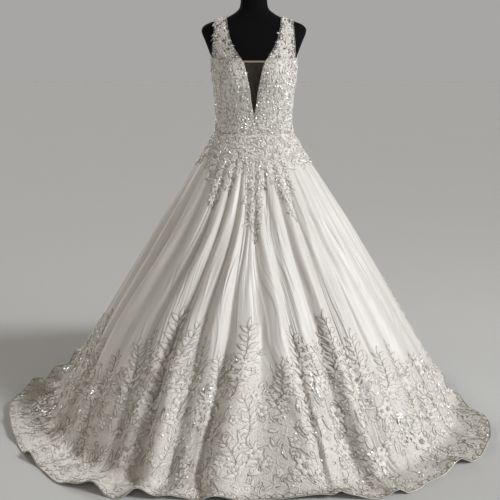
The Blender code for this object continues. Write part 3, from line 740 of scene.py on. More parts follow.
# %% [markdown]
# ## Panels
# Each panel is a thin shell, and Solidify gives it its thickness inwards. The cut of a panel
# is a gore, wide at the hem and gathered by its pleats at the waist.

# %% Sheets of cloth
def cloth_piece(name, points, finish, thickness=0, keep=ALL):
    """A piece of cloth from a grid of points, with its flat map in metres. Its thickness is
    laid on inside the modelled face."""
    flat = np.stack([run_length(points, 1), run_length(points, 0)], axis=-1)
    piece = add_piece(name, points, grid_faces(*points.shape[:2], keep), finish, flat)
    if thickness:
        solid = piece.modifiers.new("cloth_thickness", "SOLIDIFY")
        solid.thickness = thickness
        solid.offset = -1
        solid.use_even_offset = False
    return piece


def cut_sheet(piece, node, points, held, width=None, under="torso", keep=ALL, **pieces):
    """Hides the node that a sheet replaces, and works out the width of its cut, which nothing uses.
    held is not used."""
    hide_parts(node)
    width = run_length(points, 1).max() if width is None else width


def add_values(piece, name, kind, field, values):
    """A value at each point of a piece, for its finish to read."""
    layer = piece.data.attributes.new(name, kind, "POINT")
    layer.data.foreach_set(field, np.asarray(values, np.float32).ravel())


# %% Satin panels
SATIN_THICKNESS = 0.0014
pleat_grid = np.stack([fold_grid, down_grid, 0 * fold_grid], axis=-1)
for place, first, last in (
    ("back_left", -0.5, 4.5),
    ("side_left", 4.5, 10.5),
    ("front", 10.5, 17.5),
    ("side_right", 17.5, 24.5),
    ("back_right", 24.5, 29.5),
):
    part = columns_between(first, last)
    panel = skirt_outer[:, part]
    piece = cloth_piece(f"satin_{place}", panel, satin, SATIN_THICKNESS)
    add_values(piece, "lace_cover", "FLOAT", "value", lace_cover[:, part])
    add_values(piece, "pleat_place", "FLOAT_VECTOR", "vector", pleat_grid[:, part])
    cut_sheet(piece, f"skirt_{place}", panel, "gathered", run_length(panel, 1)[0, -1])

# %% [markdown]
# ## Bodice, insert and straps
# The bodice is four panels over the figure, cut low between the breasts, with sheer net in
# the lower part of the plunge. The straps are open lace.

# %% Bodice measures
BODICE_WALL = 0.0022
WAIST_SEAM = 0.0011
SEAM_GAP = 0.0003
STRAP_SEAM_HEIGHT = 1.307
UNDERARM_HEIGHT = 1.283
ARMHOLE_SPAN = (0.84, 1.0)
HALVINGS = 40
NECKLINE = table(
    "height edge",
    (1.1, 0), (1.108, 0.0006), (1.156, 0.0091), (1.191, 0.0126), (1.227, 0.0196),
    (1.261, 0.0269), (1.29, 0.0357), (1.307, 0.0455),
)
BACK_NECKLINE = table(
    "height edge",
    (1.15, 0), (1.165, 0.006), (1.21, 0.023), (1.26, 0.04), (1.307, 0.058),
)


def angle_of(x, height, back):
    """The angle at which the figure's skin is x from its middle, found by halving."""
    low, high = np.zeros_like(x), np.full_like(x, 89.0)
    for _ in range(HALVINGS):
        middle = (low + high) / 2
        turn = 180 - middle if back else middle
        short = figure_radius(turn, height, CLOTH_EASE) * np.sin(np.radians(middle)) < x
        low, high = np.where(short, middle, low), np.where(short, high, middle)
    return 180 - low if back else low


def bodice_point(across, up, side, back, out):
    """A bodice panel: across runs from the neckline to the side seam, and up from the waist
    seam to the top edge, each point at its angle and height on the figure."""
    armhole = smooth(across, *ARMHOLE_SPAN)
    top = STRAP_SEAM_HEIGHT - (STRAP_SEAM_HEIGHT - UNDERARM_HEIGHT) * armhole
    low = WAIST_HEIGHT + WAIST_SEAM
    height = low + (top - SEAM_GAP - low) * up
    line = BACK_NECKLINE if back else NECKLINE
    edge = read(line, "edge", height)
    start = angle_of(np.maximum(edge, SEAM_GAP / 2), height, back)
    angle = side * (start + (90 - start) * across)
    return round_axis(angle, figure_radius(angle, height, CLOTH_EASE) + out, height)


# %% Bodice panels
BODICE_THICKNESS = 0.0018
SIDES = ((-1, "left"), (1, "right"))
BODICE_GRID = np.meshgrid(np.linspace(0, 1, 45), np.linspace(0, 1, 49))
for side, hand in SIDES:
    for back, end in ((False, "front"), (True, "back")):
        panel = bodice_point(*BODICE_GRID, side, back, BODICE_WALL)
        if (side > 0) == back:
            panel = panel[:, ::-1]
        piece = cloth_piece(f"lining_{end}_{hand}", panel, lace_ground, BODICE_THICKNESS)
        cut_sheet(piece, f"bodice_{end}_{hand}", panel, "stretched")

# %% Net insert
INSERT_LOW, INSERT_HIGH = 0.30, 0.965
NET_OUT = 0.0008
BINDING_LIFT = 0.0006
BINDING_ROWS = 3
EDGE_GAP = 1.6 * SEAM_GAP
across, up = np.meshgrid(np.linspace(-1, 1, 17), np.linspace(INSERT_LOW, INSERT_HIGH, 61))
low = WAIST_HEIGHT + WAIST_SEAM
height = low + (STRAP_SEAM_HEIGHT - SEAM_GAP - low) * up
edge = np.maximum(read(NECKLINE, "edge", height) - EDGE_GAP, 0)
angle = angle_of(np.abs(across) * edge, height, False) * np.sign(across)
insert = round_axis(angle, figure_radius(angle, height, CLOTH_EASE) + NET_OUT, height)
net_insert = cloth_piece("plunge_net", insert, sheer)
binding = (insert + BINDING_LIFT * grid_normals(insert))[-BINDING_ROWS:]
net_hem = cloth_piece("plunge_net_binding", binding, net_binding)
cut_sheet(net_insert, "net_insert", insert, "stretched", with_pieces=[net_hem])

# %% Strap surface
STRAP = table(
    "turn inner outer",
    (0, 0.0455, 0.149), (14, 0.062, 0.15), (43, 0.0838, 0.147), (80, 0.0955, 0.14),
    (100, 0.096, 0.14), (137, 0.087, 0.145), (166, 0.07, 0.149), (180, 0.058, 0.149),
)


def strap_point(across, turn, side, out):
    """A line leaves the shoulder's middle at each turn, from the front seam (0) over the top
    to the back seam (180), and its length is halved down to the figure's skin."""
    inner, outer = read(STRAP, "inner", turn), read(STRAP, "outer", turn)
    x = side * (inner + (outer - inner) * across)
    rise, run = np.sin(np.radians(turn)), -np.cos(np.radians(turn))
    ease = CLOTH_EASE + (SHOULDER_EASE - CLOTH_EASE) * rise + out
    low, high = np.zeros_like(x), np.full_like(x, 0.25)
    for _ in range(HALVINGS):
        reach = (low + high) / 2
        y, z = run * reach, STRAP_SEAM_HEIGHT + SEAM_GAP / 2 + rise * reach
        skin = figure_radius(bearing(x, y), z, ease)
        inside = (np.hypot(x, y) < skin) & (z < FIGURE["height"][-1])
        low, high = np.where(inside, reach, low), np.where(inside, high, reach)
    return np.stack([x, y, z], axis=-1)


STRAP_OUT = 0.0006


def strap_grid(side, columns, overhang):
    """A strap's grid of points from left to right, with an overhang past both its edges."""
    shares = np.linspace(-overhang, 1 + overhang, columns)
    grid = strap_point(*np.meshgrid(shares, np.linspace(0, 180, 121)), side, STRAP_OUT)
    return grid[:, ::-1] if side < 0 else grid


for side, hand in SIDES:
    grid = strap_grid(side, 21, 0)
    piece = cloth_piece(f"strap_net_{hand}", grid, tulle)
    cut_sheet(piece, f"strap_{hand}", grid, "hung")

# %% [markdown]
# ## How lace is laid on cloth
# The lace is embroidery, cord, glass beads and sequins on fine net. Drawing each leaf in
# place would take for ever, so a few small designs are drawn flat, in metres, and copies are
# laid on the cloth: a flat step across follows the cloth round its folds, and a flat step up
# follows it upwards, so that every copy keeps its real size.

# %% A cloth that can be measured
LINES_APART = 100.0


def measured(points):
    """A grid of cloth with its normals and the distance run along both ways."""
    return {
        "points": points,
        "normals": grid_normals(points),
        "along": run_length(points, 1),
        "up": run_length(points, 0),
    }


def index_at(lines, line, value):
    """Where a value lies along its own rising line of numbers, as a fractional index. The
    lines are set far apart on one axis, so one interpolation serves them all."""
    keys = lines + LINES_APART * np.arange(len(lines))[:, None]
    found = np.interp(value + LINES_APART * line, keys.ravel(), np.arange(keys.size))
    return np.clip(found - line * lines.shape[1], 0, lines.shape[1] - 1)


def between(grid, row, column):
    """A grid's value between its points, in shares of the four points around."""
    row = np.clip(row, 0, grid.shape[0] - 1.001)
    column = np.clip(column, 0, grid.shape[1] - 1.001)
    r, c = row.astype(int), column.astype(int)
    up, right = (row - r)[..., None], (column - c)[..., None]
    low = grid[r, c] * (1 - right) + grid[r, c + 1] * right
    high = grid[r + 1, c] * (1 - right) + grid[r + 1, c + 1] * right
    return low * (1 - up) + high * up


LACE_LIFT = 0.0005
ROW_STEP = 0.87
ROW_SHIFT = 0.5
ROW_INSET = 0.3
JITTER = 0.34


def laid(cloth, part, column, up, turn, size):
    """Copies of a flat part on a cloth: each is turned and sized about its own place, then its
    flat steps become steps along the cloth, and its heights stand square to the cloth."""
    flat, faces = part
    turn, size = np.radians(turn)[:, None], np.broadcast_to(size, turn.shape)[:, None]
    x = size * (flat[:, 0] * np.cos(turn) - flat[:, 1] * np.sin(turn))
    y = size * (flat[:, 0] * np.sin(turn) + flat[:, 1] * np.cos(turn))
    nearest = np.rint(column).astype(int)[:, None]
    row = index_at(cloth["up"].T, nearest, up[:, None] + y)
    line = np.rint(row).astype(int)
    start = between(cloth["along"][..., None], line, column[:, None] + 0 * x)[..., 0]
    place = index_at(cloth["along"], line, start + x)
    height = LACE_LIFT + size * flat[:, 2]
    points = between(cloth["points"], row, place)
    points = points + height[..., None] * between(cloth["normals"], row, place)
    copies = len(flat) * np.arange(len(turn))[:, None, None]
    return points.reshape(-1, 3), (faces + copies).reshape(-1, 3)


def scattered(cloth, low, high, spacing, seed, columns):
    """Places in rows a spacing apart, each pushed aside at random, as (column, up)."""
    draw = np.random.default_rng(seed)
    first, last = columns
    middle = (first + last) // 2
    found = []
    for level, rise in enumerate(np.arange(low, high, ROW_STEP * spacing)):
        line = int(index_at(cloth["up"].T, np.array([middle]), np.array([rise]))[0] + 0.5)
        run = cloth["along"][line]
        start = run[first] + spacing * (ROW_INSET + ROW_SHIFT * (level % 2))
        steps = np.arange(start, run[last] - ROW_INSET * spacing, spacing)
        steps = steps + draw.uniform(-JITTER, JITTER, len(steps)) * spacing
        column = index_at(cloth["along"], np.full(len(steps), line), steps)
        found.append(np.stack([column, rise + draw.uniform(-JITTER, JITTER, len(steps)) * spacing]))
    return np.concatenate(found, axis=1)


# %% [markdown]
# ## Small designs
# A leaf is a low cushion of stitches with a cord round it. A blossom is a ring of such
# leaves round a bead, a spray is pairs of them up a stem, and a curl is a cord alone. The
# shapes are plain ones that any embroidery has, and none is copied from the photograph.

# %% Parts of a design
def merged(parts):
    """Several parts, each (points, faces), as one."""
    starts = np.cumsum([0] + [len(points) for points, _ in parts])
    faces = [faces + start for (_, faces), start in zip(parts, starts)]
    return np.concatenate([points for points, _ in parts]), np.concatenate(faces)


def arranged(parts, x, y, turn):
    """A design, moved and turned in degrees. A design is one part for each finish."""
    c, s = np.cos(np.radians(turn)), np.sin(np.radians(turn))
    spin = np.array([(c, s, 0), (-s, c, 0), (0, 0, 1)])
    return {finish: (points @ spin + (x, y, 0), faces) for finish, (points, faces) in parts.items()}


def together(designs):
    """Several designs as one, merged finish by finish."""
    finishes = sorted({finish for design in designs for finish in design})
    return {
        finish: merged([design[finish] for design in designs if finish in design])
        for finish in finishes
    }


def cord_part(path, radius, closed=False):
    """A cord on a flat path, a ridge sewn down on the cloth: at each point two corners a
    radius to each side, and one corner above."""
    path = np.asarray(path, float)
    run = np.roll(path, -1, 0) - np.roll(path, 1, 0) if closed else np.gradient(path, axis=0)
    run = run / np.linalg.norm(run, axis=-1, keepdims=True)
    side = np.stack([-run[:, 1], run[:, 0]], axis=-1) * radius
    level, above = np.zeros((len(path), 1)), np.full((len(path), 1), 1.8 * radius)
    rings = [np.hstack([path + side, level]), np.hstack([path, above]), np.hstack([path - side, level])]
    points = np.stack(rings, axis=1).reshape(-1, 3)
    here = np.arange(len(path) if closed else len(path) - 1)
    after = (here + 1) % len(path)
    low = np.stack([3 * here, 3 * after, 3 * after + 1, 3 * here + 1], axis=-1)
    return points, halves(np.concatenate([low, low + 1]))[:, ::-1]


def crystal_part(places, radius):
    """Cut glass beads at flat places, each a double pyramid of eight faces."""
    corners = np.array([(1, 0, 0), (0, 1, 0), (-1, 0, 0), (0, -1, 0), (0, 0, 1), (0, 0, -1)])
    around = [(0, 1), (1, 2), (2, 3), (3, 0)]
    cut = np.array([(a, b, 4) for a, b in around] + [(b, a, 5) for a, b in around])
    centres = np.array([(x, y, 0.8 * radius) for x, y in places])
    points = (centres[:, None] + radius * corners).reshape(-1, 3)
    return points, (cut + 6 * np.arange(len(centres))[:, None, None]).reshape(-1, 3)


def sequin_part(radius, tilt):
    """A sequin: six corners round a shallow cup, tipped so that it catches the light."""
    turn = np.radians(np.arange(6) * 60)
    tip = tilt * radius * (1 + np.sin(turn))
    rim = np.stack([radius * np.cos(turn), radius * np.sin(turn), tip], axis=-1)
    points = np.concatenate([rim, [(0, 0, 0.3 * radius)]])
    here = np.arange(6)
    return points, np.stack([here, (here + 1) % 6, np.full(6, 6)], axis=-1)


# %% Leaf, blossom, spray and curl
def leaf_line(t, length, width, bend, side, rise=0):
    """A line along a leaf at shares t of its length: its middle, or an edge. Half the width is
    a sine that rises fast and ends in a point."""
    half = width / 2 * np.sin(np.pi * t**0.72)
    return np.stack([bend * length * t**2 + side * half, length * t, rise + 0 * t], axis=-1)


def leaf(length, width, radius, bend=0.0, rows=5, around=5):
    """A cushion of stitches, highest along its middle, and a cord round its edge."""
    t = np.linspace(0.03, 0.97, rows)
    crown = 0.20 * width * np.sin(np.pi * t) + 0.0005
    lines = [leaf_line(t, length, width, bend, *line) for line in ((-1,), (0, crown), (1,))]
    parts = {"embroidery": (np.stack(lines, axis=1).reshape(-1, 3), halves(grid_faces(rows, 3)))}
    if radius:
        t = np.linspace(0, 1, around)
        right, left = (leaf_line(t, length, width, bend, side) for side in (1, -1))
        edge = np.concatenate([right, left[-2:0:-1]])[:, :2]
        parts["cord"] = cord_part(edge, radius, closed=True)
    return parts


def blossom(radius, petals, cord_radius, middle_beads=5):
    """Petals round a middle, each a broad leaf, and cut beads in the middle."""
    width = 1.45 * radius * np.sin(np.pi / petals)
    petal = leaf(0.82 * radius, width, cord_radius, rows=4)
    ring = [
        arranged(petal, -0.18 * radius * np.sin(a), 0.18 * radius * np.cos(a), np.degrees(a))
        for a in 2 * np.pi * np.arange(petals) / petals
    ]
    turn = 2 * np.pi * np.arange(middle_beads) / middle_beads
    places = [(0, 0)] + list(zip(0.18 * radius * np.cos(turn), 0.18 * radius * np.sin(turn)))
    return together(ring + [{"bead": crystal_part(places, 0.10 * radius + 0.0006)}])


SPRAY_WAVE = 2.6
VINE_WAVE = 7.5


def on_stem(t, length, sway, wave):
    """A place on a stem that sways: its step aside is a sine of its share t of the length."""
    return sway * np.sin(wave * t), length * t


def spray(length, pairs, leaf_length, cord_radius, sway=0.08):
    """A swaying stem with pairs of leaves that shorten and close up towards its tip."""
    measures = (length, sway * length, SPRAY_WAVE)
    stem = np.stack(on_stem(np.linspace(0, 1, 8), *measures), axis=-1)
    shares = 0.04 + 0.90 * np.arange(pairs) / (pairs - 1)
    parts = [{"cord": cord_part(stem, cord_radius)}]
    for t in shares:
        x, y = on_stem(t, *measures)
        size = leaf_length * (1 - 0.30 * t)
        for side in (-1, 1):
            one = leaf(size, 0.40 * size, cord_radius, 0.20 * side, 4)
            parts.append(arranged(one, x + 0.003 * side, y + 0.02 * side * length, -side * (56 - 22 * t)))
    tip = leaf(0.8 * leaf_length, 0.26 * leaf_length, cord_radius, rows=4)
    beads = crystal_part(zip(*on_stem(shares, *measures)), 2.4 * cord_radius)
    return together(parts + [arranged(tip, *stem[-1], -4), {"bead": beads}])


def curl(radius, cord_radius, turns=1.2):
    """A cord that winds in: its radius shrinks evenly as it turns, from a short tail."""
    s = np.linspace(0, 1, 11)
    wind = radius * (1 - 0.75 * s)
    turn = 2 * np.pi * turns * s
    path = np.stack([wind * np.cos(turn) - radius, wind * np.sin(turn)], axis=-1)
    tail = np.array([(0.16, -2.4), (0.20, -1.5), (0.10, -0.7)]) * radius
    return {"cord": cord_part(np.concatenate([tail, path]), cord_radius)}


def vine(length, cord_radius, sway, leaf_length):
    """A wavy cord upwards with leaves at its turns."""
    measures = (length, sway, VINE_WAVE)
    path = np.stack(on_stem(np.linspace(0, 1, 10), *measures), axis=-1)
    one = leaf(leaf_length, 0.34 * leaf_length, 0.8 * cord_radius, 0.1, 4, 4)
    turns = ((0.25, -50), (0.5, 50), (0.75, -45), (1, 8))
    leaves = [arranged(one, *on_stem(t, *measures), turn) for t, turn in turns]
    return together([{"cord": cord_part(path, cord_radius)}] + leaves)


def scallop(width, cord_radius):
    """One arch of the corded hem, half a turn flattened, with a bead under its crown."""
    turn = np.linspace(np.pi, 0, 7)
    path = np.stack([width / 2 * np.cos(turn), 0.45 * width * np.sin(turn)], axis=-1)
    low = [(x, -0.001) for x in (-width / 2, 0, width / 2)]
    cords = [cord_part(path, cord_radius), cord_part(low, 1.3 * cord_radius)]
    return {"cord": merged(cords), "bead": crystal_part([(0, 0.2 * width)], 0.0028)}


SCALLOP = 0.036
CORD = 0.0009
designs = {
    "leaf": leaf(0.030, 0.011, CORD, 0.15),
    "slim_leaf": leaf(0.044, 0.010, CORD, 0.30),
    "plume": leaf(0.052, 0.0080, 0, 0.10, rows=6),
    "stitch": leaf(0.022, 0.0045, 0, 0.2, rows=4),
    "blossom": blossom(0.021, 5, CORD),
    "large_blossom": blossom(0.036, 7, 1.1 * CORD),
    "tall_spray": spray(0.19, 6, 0.056, 1.2 * CORD),
    "spray": spray(0.11, 4, 0.042, CORD, 0.14),
    "curl": curl(0.012, CORD),
    "vine": vine(0.085, CORD, 0.007, 0.020),
    "small_leaf": leaf(0.017, 0.0065, 0.7 * CORD, 0.2, 4, 4),
    "small_blossom": blossom(0.012, 5, 0, 0),
    "scallop": scallop(SCALLOP, 1.1 * CORD),
    "bead": {"bead": crystal_part([(0, 0)], 0.0017)},
    "sequin": {"sequin": sequin_part(0.0034, 0.55)},
    "flat_sequin": {"sequin": sequin_part(0.0040, 0.18)},
}
for name, design in designs.items():
    print(name, {finish: len(faces) for finish, (_, faces) in design.items()})

# %% A store for laid lace
LACE_FINISHES = {"embroidery": embroidery, "cord": cord, "bead": bead_glass, "sequin": sequin}
lace = {}


def lay_copies(region, cloth, name, column, up, turns, sizes):
    """Copies of a design, each at its own place, turn and size, kept for one region."""
    for finish, part in designs[name].items():
        lace.setdefault((region, finish), []).append(laid(cloth, part, column, up, turns, sizes))
    print(region, name, len(column))


def lay_design(region, cloth, name, places, seed, turn=(0, 360), size=(0.85, 1.15)):
    """The same with turns and sizes drawn at random between limits."""
    draw = np.random.default_rng(seed)
    turns, sizes = (draw.uniform(*limits, places.shape[1]) for limits in (turn, size))
    lay_copies(region, cloth, name, *places, turns, sizes)


# %% [markdown]
# ## Lace round the hem
# A broad border climbs about forty centimetres up the cloth, dense below and ending above in
# leafy sprays at uneven heights. The tall sprays on the seen side have places of their own,
# and like ones are spread over the sides and the train.

# %% Places on the skirt
skirt_cloth = measured(skirt_outer)
ROUND = (int(column_of(-0.5)), int(column_of(29.5)))
SPARE_HEIGHTS = (0.10, 0.20)
LEAST_SHARE = 0.15
HEM_SIDE, WAIST_SIDE = -1, 1


def place_of(cloth, places):
    """The points in space of (column, up) places on a cloth, and their angles."""
    column, up = places
    row = index_at(cloth["up"].T, np.rint(column).astype(int), up)
    points = between(cloth["points"], row, column)
    return points, bearing(*points.T[:2])


def past_edge(places, edge, side, margin):
    """The places more than a margin past an edge, towards the hem or towards the waist."""
    points, angle = place_of(skirt_cloth, places)
    return places[:, side * (points[:, 2] - read_round(edge, "height", angle)) > margin]


def thinned(places, seed):
    """Places kept by chance: all but those low on the cloth at its plain places, where only a
    least share is kept."""
    plain = plain_share(places[0] / COLUMNS_PER_FOLD + FOLD_START)
    plain = plain * (1 - smooth(places[1], *SPARE_HEIGHTS))
    chance = np.random.default_rng(seed).uniform(size=places.shape[1])
    return places[:, chance < 1 - (1 - LEAST_SHARE) * plain]


# %% Sprays
SPRAYS = table(
    "fold up turn size",
    (11.38, 0.47, 4, 1), (11, 0.43, 22, 0.8), (11.85, 0.425, -22, 0.85), (11.35, 0.33, 2, 1),
    (10.45, 0.39, 12, 0.8), (9.6, 0.34, 6, 0.75), (12.5, 0.36, -8, 0.75), (13.4, 0.31, 8, 0.75),
    (14.06, 0.36, -3, 0.9), (14.7, 0.28, -12, 0.7), (15.56, 0.365, 4, 0.85), (16.2, 0.36, 14, 0.75),
    (16.81, 0.44, -2, 0.95), (17.05, 0.33, -6, 0.9), (17.62, 0.4, -8, 0.85), (18.6, 0.34, -6, 0.75),
    (19.31, 0.34, 2, 0.85), (20.8, 0.2, -4, 0.75), (22.3, 0.18, 0, 0.8),
)
unseen = np.concatenate([np.arange(0.2, 8.9, 0.8), np.arange(23.2, 29.3, 0.8)])
draw = np.random.default_rng(5)
for name, values in (
    ("fold", unseen),
    ("up", draw.uniform(0.28, 0.42, len(unseen))),
    ("turn", draw.uniform(-14, 14, len(unseen))),
    ("size", draw.uniform(0.75, 1.0, len(unseen))),
):
    SPRAYS[name] = np.concatenate([SPRAYS[name], values])
column = column_of(SPRAYS["fold"])
for name, rise, turn, size in (
    ("tall_spray", 0, 0, 1),
    ("spray", 0.005, 42, 0.8),
    ("spray", 0.03, -40, 0.85),
):
    up, turns, sizes = SPRAYS["up"] + rise, SPRAYS["turn"] + turn, SPRAYS["size"] * size
    lay_copies("sprays", skirt_cloth, name, column, up, turns, sizes)

# %% The border below the sprays
TOP = 0.56
for name, spacing, low, margin, seed, turn, size in (
    ("large_blossom", 0.210, 0.14, 0.040, 21, (0, 360), (0.8, 1.1)),
    ("blossom", 0.100, 0.09, 0.010, 22, (0, 360), (0.8, 1.1)),
    ("spray", 0.150, 0.10, 0.050, 23, (-55, 55), (0.7, 1.0)),
    ("leaf", 0.060, 0.05, 0.005, 24, (-100, 100), (0.7, 1.1)),
    ("slim_leaf", 0.068, 0.05, 0.010, 25, (-70, 70), (0.7, 1.1)),
    ("curl", 0.070, 0.05, 0.010, 26, (0, 360), (0.8, 1.3)),
    ("stitch", 0.034, 0.02, -0.010, 27, (-90, 90), (0.8, 1.3)),
):
    places = scattered(skirt_cloth, low, TOP, spacing, seed, ROUND)
    places = thinned(past_edge(places, HEM_LACE_EDGE, HEM_SIDE, margin), seed)
    lay_design("hem", skirt_cloth, name, places, seed + 10, turn, size)
for name, spacing, low, high, seed, turn, size in (
    ("vine", 0.110, 0.014, 0.09, 28, (-14, 14), (0.8, 1.1)),
    ("small_leaf", 0.036, 0.016, 0.085, 29, (-110, 110), (0.9, 1.4)),
    ("small_blossom", 0.066, 0.020, 0.08, 30, (0, 360), (0.9, 1.2)),
):
    places = scattered(skirt_cloth, low, high, spacing, seed, ROUND)
    lay_design("hem", skirt_cloth, name, places, seed + 10, turn, size)
SCALLOP_UP = 0.003
along = skirt_cloth["along"]
start, end = along[0, ROUND[0]], along[0, ROUND[1]]
middles = np.linspace(start + SCALLOP / 2, end - SCALLOP / 2, int((end - start) / SCALLOP))
column = index_at(along, np.zeros(len(middles), int), middles)
lay_copies("hem", skirt_cloth, "scallop", column, np.full(len(column), SCALLOP_UP), 0 * column, 1)

# %% Beads and sequins on the border
for name, spacing, margin, seed in (("bead", 0.030, -0.01, 41), ("sequin", 0.045, 0.01, 42)):
    places = scattered(skirt_cloth, 0.01, TOP, spacing, seed, ROUND)
    places = past_edge(places, HEM_LACE_EDGE, HEM_SIDE, margin)
    lay_design("hem", skirt_cloth, name, places, seed + 10)

# %% Clusters of sequins
CLUSTERS = table(
    "fold up",
    (17.62, 0.371), (18.62, 0.225), (15.94, 0.368), (17.19, 0.14), (5.25, 0.06),
    (7.06, 0.156), (13.4, 0.33), (11.2, 0.33), (21.4, 0.17), (2.2, 0.25),
    (28.3, 0.24), (25.4, 0.2),
)
SEQUINS_EACH = 70
COLUMN_SPREAD = 1.7
UP_SPREAD = 0.017
LOWEST = 0.01
draw = np.random.default_rng(9)
column = np.repeat(column_of(CLUSTERS["fold"]), SEQUINS_EACH)
up = np.repeat(CLUSTERS["up"], SEQUINS_EACH)
column = column + draw.normal(0, COLUMN_SPREAD, len(column))
up = up + draw.normal(0, UP_SPREAD, len(up))
places = np.stack([column, np.maximum(up, LOWEST)])
lay_design("hem", skirt_cloth, "flat_sequin", places[:, ::2], 53, size=(1.2, 1.8))
lay_design("hem", skirt_cloth, "sequin", places[:, 1::2], 54, size=(1.3, 1.9))

# %% [markdown]
# ## Lace from the waist
# The same lace covers the bodice and spills over the hips, then runs down in fingers along
# the pleats: a long one in the middle of the front and one at each side of it.

# %% Places at the waist
upside_down = measured(skirt_outer[::-1])
waist_up = skirt_cloth["up"][-1]
WAIST_DROPS = (0.003, 0.42)


def waist_places(spacing, seed, margin):
    """Scattered places between the waist seam and the lace's edge. They are found on the cloth
    turned upside down, so that their rows run along the waist."""
    column, drop = scattered(upside_down, *WAIST_DROPS, spacing, seed, ROUND)
    places = np.stack([column, waist_up[np.rint(column).astype(int)] - drop])
    return past_edge(places, WAIST_LACE_EDGE, WAIST_SIDE, margin)


# %% Net under the waist lace
NET_LIFT = 0.0005
net_high = skirt_outer + NET_LIFT * skirt_cloth["normals"]
edge = read_round(WAIST_LACE_EDGE, "height", bearing(*np.moveaxis(net_high, -1, 0)[:2]))
for place, first, last in (("back_left", -0.5, 6.5), ("front", 6.5, 22.5), ("back_right", 22.5, 29.5)):
    part = columns_between(first, last)
    points = net_high[:, part]
    keep = points[:-1, :-1, 2] > edge[:-1, part][:, :-1]
    used = np.flatnonzero(keep.any(axis=1))[0]
    points, keep = points[used:], keep[used:]
    piece = cloth_piece(f"waist_net_{place}", points, tulle, keep=keep)
    widest = np.flatnonzero(keep.mean(axis=1) > 0.5)[0]
    width = run_length(points, 1)[widest, -1]
    cut_sheet(piece, f"waist_lace_{place}", points, "draped", width, f"satin_{place}", keep)

# %% Leaves, blossoms and beads at the waist
for name, spacing, margin, seed, turn, size in (
    ("blossom", 0.058, 0.012, 61, (0, 360), (0.7, 0.95)),
    ("plume", 0.034, 0.040, 62, (140, 220), (0.6, 0.9)),
    ("leaf", 0.027, 0.008, 63, (110, 250), (0.8, 1.3)),
    ("small_blossom", 0.036, 0.006, 64, (0, 360), (0.8, 1.1)),
    ("small_leaf", 0.023, -0.004, 65, (90, 270), (0.9, 1.5)),
    ("stitch", 0.016, 0.002, 66, (0, 360), (0.7, 1.1)),
    ("bead", 0.0115, -0.006, 67, (0, 360), (0.7, 1.1)),
    ("sequin", 0.0120, -0.002, 68, (0, 360), (0.7, 1.2)),
):
    lay_design("waist", skirt_cloth, name, waist_places(spacing, seed, margin), seed + 10, turn, size)

# %% [markdown]
# ## Lace over the bodice
# Long feathery stitches run up the bodice like plumes, with beads and small leaves between,
# thicker near the waist. Each could be sewn to its panel, but they cross the seams, so they
# are laid on one plain shell of the figure. Tips are kept inside the necklines, and a few
# cross the seam of a strap.

# %% Places on the bodice
BODICE_LACE_COLUMNS = 361
BELOW_SEAM = 0.010
bodice_rows = np.linspace(WAIST_HEIGHT - BELOW_SEAM, STRAP_SEAM_HEIGHT + 0.02, 76)
angle, height = np.meshgrid(np.linspace(-190, 190, BODICE_LACE_COLUMNS), bodice_rows)
skin = figure_radius((angle + 180) % 360 - 180, height, CLOTH_EASE) + BODICE_WALL
hip = oval_radius(angle, WAIST_HALF_WIDTH, WAIST_FRONT, WAIST_BACK) + SATIN_WALL
skin = np.maximum(skin * (height > WAIST_HEIGHT), hip + SIDE_SPREAD * (WAIST_HEIGHT - height))
bodice_cloth = measured(round_axis(angle, skin, height))
BODICE_ROUND = (10, BODICE_LACE_COLUMNS - 11)
BODICE_LACE_RISE = 0.272
AT_SIDE = (0.97, 1)
PLUNGE_FOOT = 1.09
TIP_SHARE = 0.3
OVER_SEAM = 0.012


def beside_neckline(points, margin):
    """Which points lie more than a margin outside the necklines, front and back."""
    x, y, z = points.T
    edge = np.where(y < 0, read(NECKLINE, "edge", z), read(BACK_NECKLINE, "edge", z))
    return np.abs(x) > edge + margin * (z > PLUNGE_FOOT)


def bodice_places(spacing, seed, margin, low, reach):
    """Scattered places on the bodice, kept clear of both necklines and the underarm. A long
    design is also kept where its tip, a reach above its place, stays on the bodice."""
    places = scattered(bodice_cloth, low, BODICE_LACE_RISE, spacing, seed, BODICE_ROUND)
    points, angle = place_of(bodice_cloth, places)
    tips = place_of(bodice_cloth, places + np.array([[0], [reach]]))[0]
    side = smooth(np.abs(np.sin(np.radians(angle))), *AT_SIDE)
    top = STRAP_SEAM_HEIGHT - (STRAP_SEAM_HEIGHT - UNDERARM_HEIGHT) * side
    clear = beside_neckline(points, margin) & beside_neckline(tips, TIP_SHARE * reach)
    clear &= (points[:, 2] < top - margin / 2) & (tips[:, 2] < STRAP_SEAM_HEIGHT + OVER_SEAM)
    return places[:, clear]


# %% Plumes, leaves and beads on the bodice
for name, spacing, margin, low, reach, seed, turn, size in (
    ("plume", 0.0195, 0.018, 0.06, 0.042, 81, (-16, 16), (0.5, 0.9)),
    ("blossom", 0.060, 0.026, 0.00, 0.0, 82, (0, 360), (0.7, 0.9)),
    ("leaf", 0.046, 0.018, 0.00, 0.020, 83, (-60, 60), (0.7, 1.0)),
    ("small_blossom", 0.042, 0.010, 0.00, 0.0, 84, (0, 360), (0.8, 1.1)),
    ("small_leaf", 0.026, 0.010, 0.00, 0.010, 85, (-80, 80), (0.8, 1.2)),
    ("stitch", 0.0140, 0.009, 0.00, 0.014, 86, (-40, 40), (0.7, 1.2)),
    ("bead", 0.0098, 0.000, 0.00, 0.0, 87, (0, 360), (0.7, 1.2)),
    ("sequin", 0.0115, 0.003, 0.00, 0.0, 88, (0, 360), (0.7, 1.2)),
):
    places = bodice_places(spacing, seed, margin, low, reach)
    lay_design("bodice", bodice_cloth, name, places, seed + 10, turn, size)

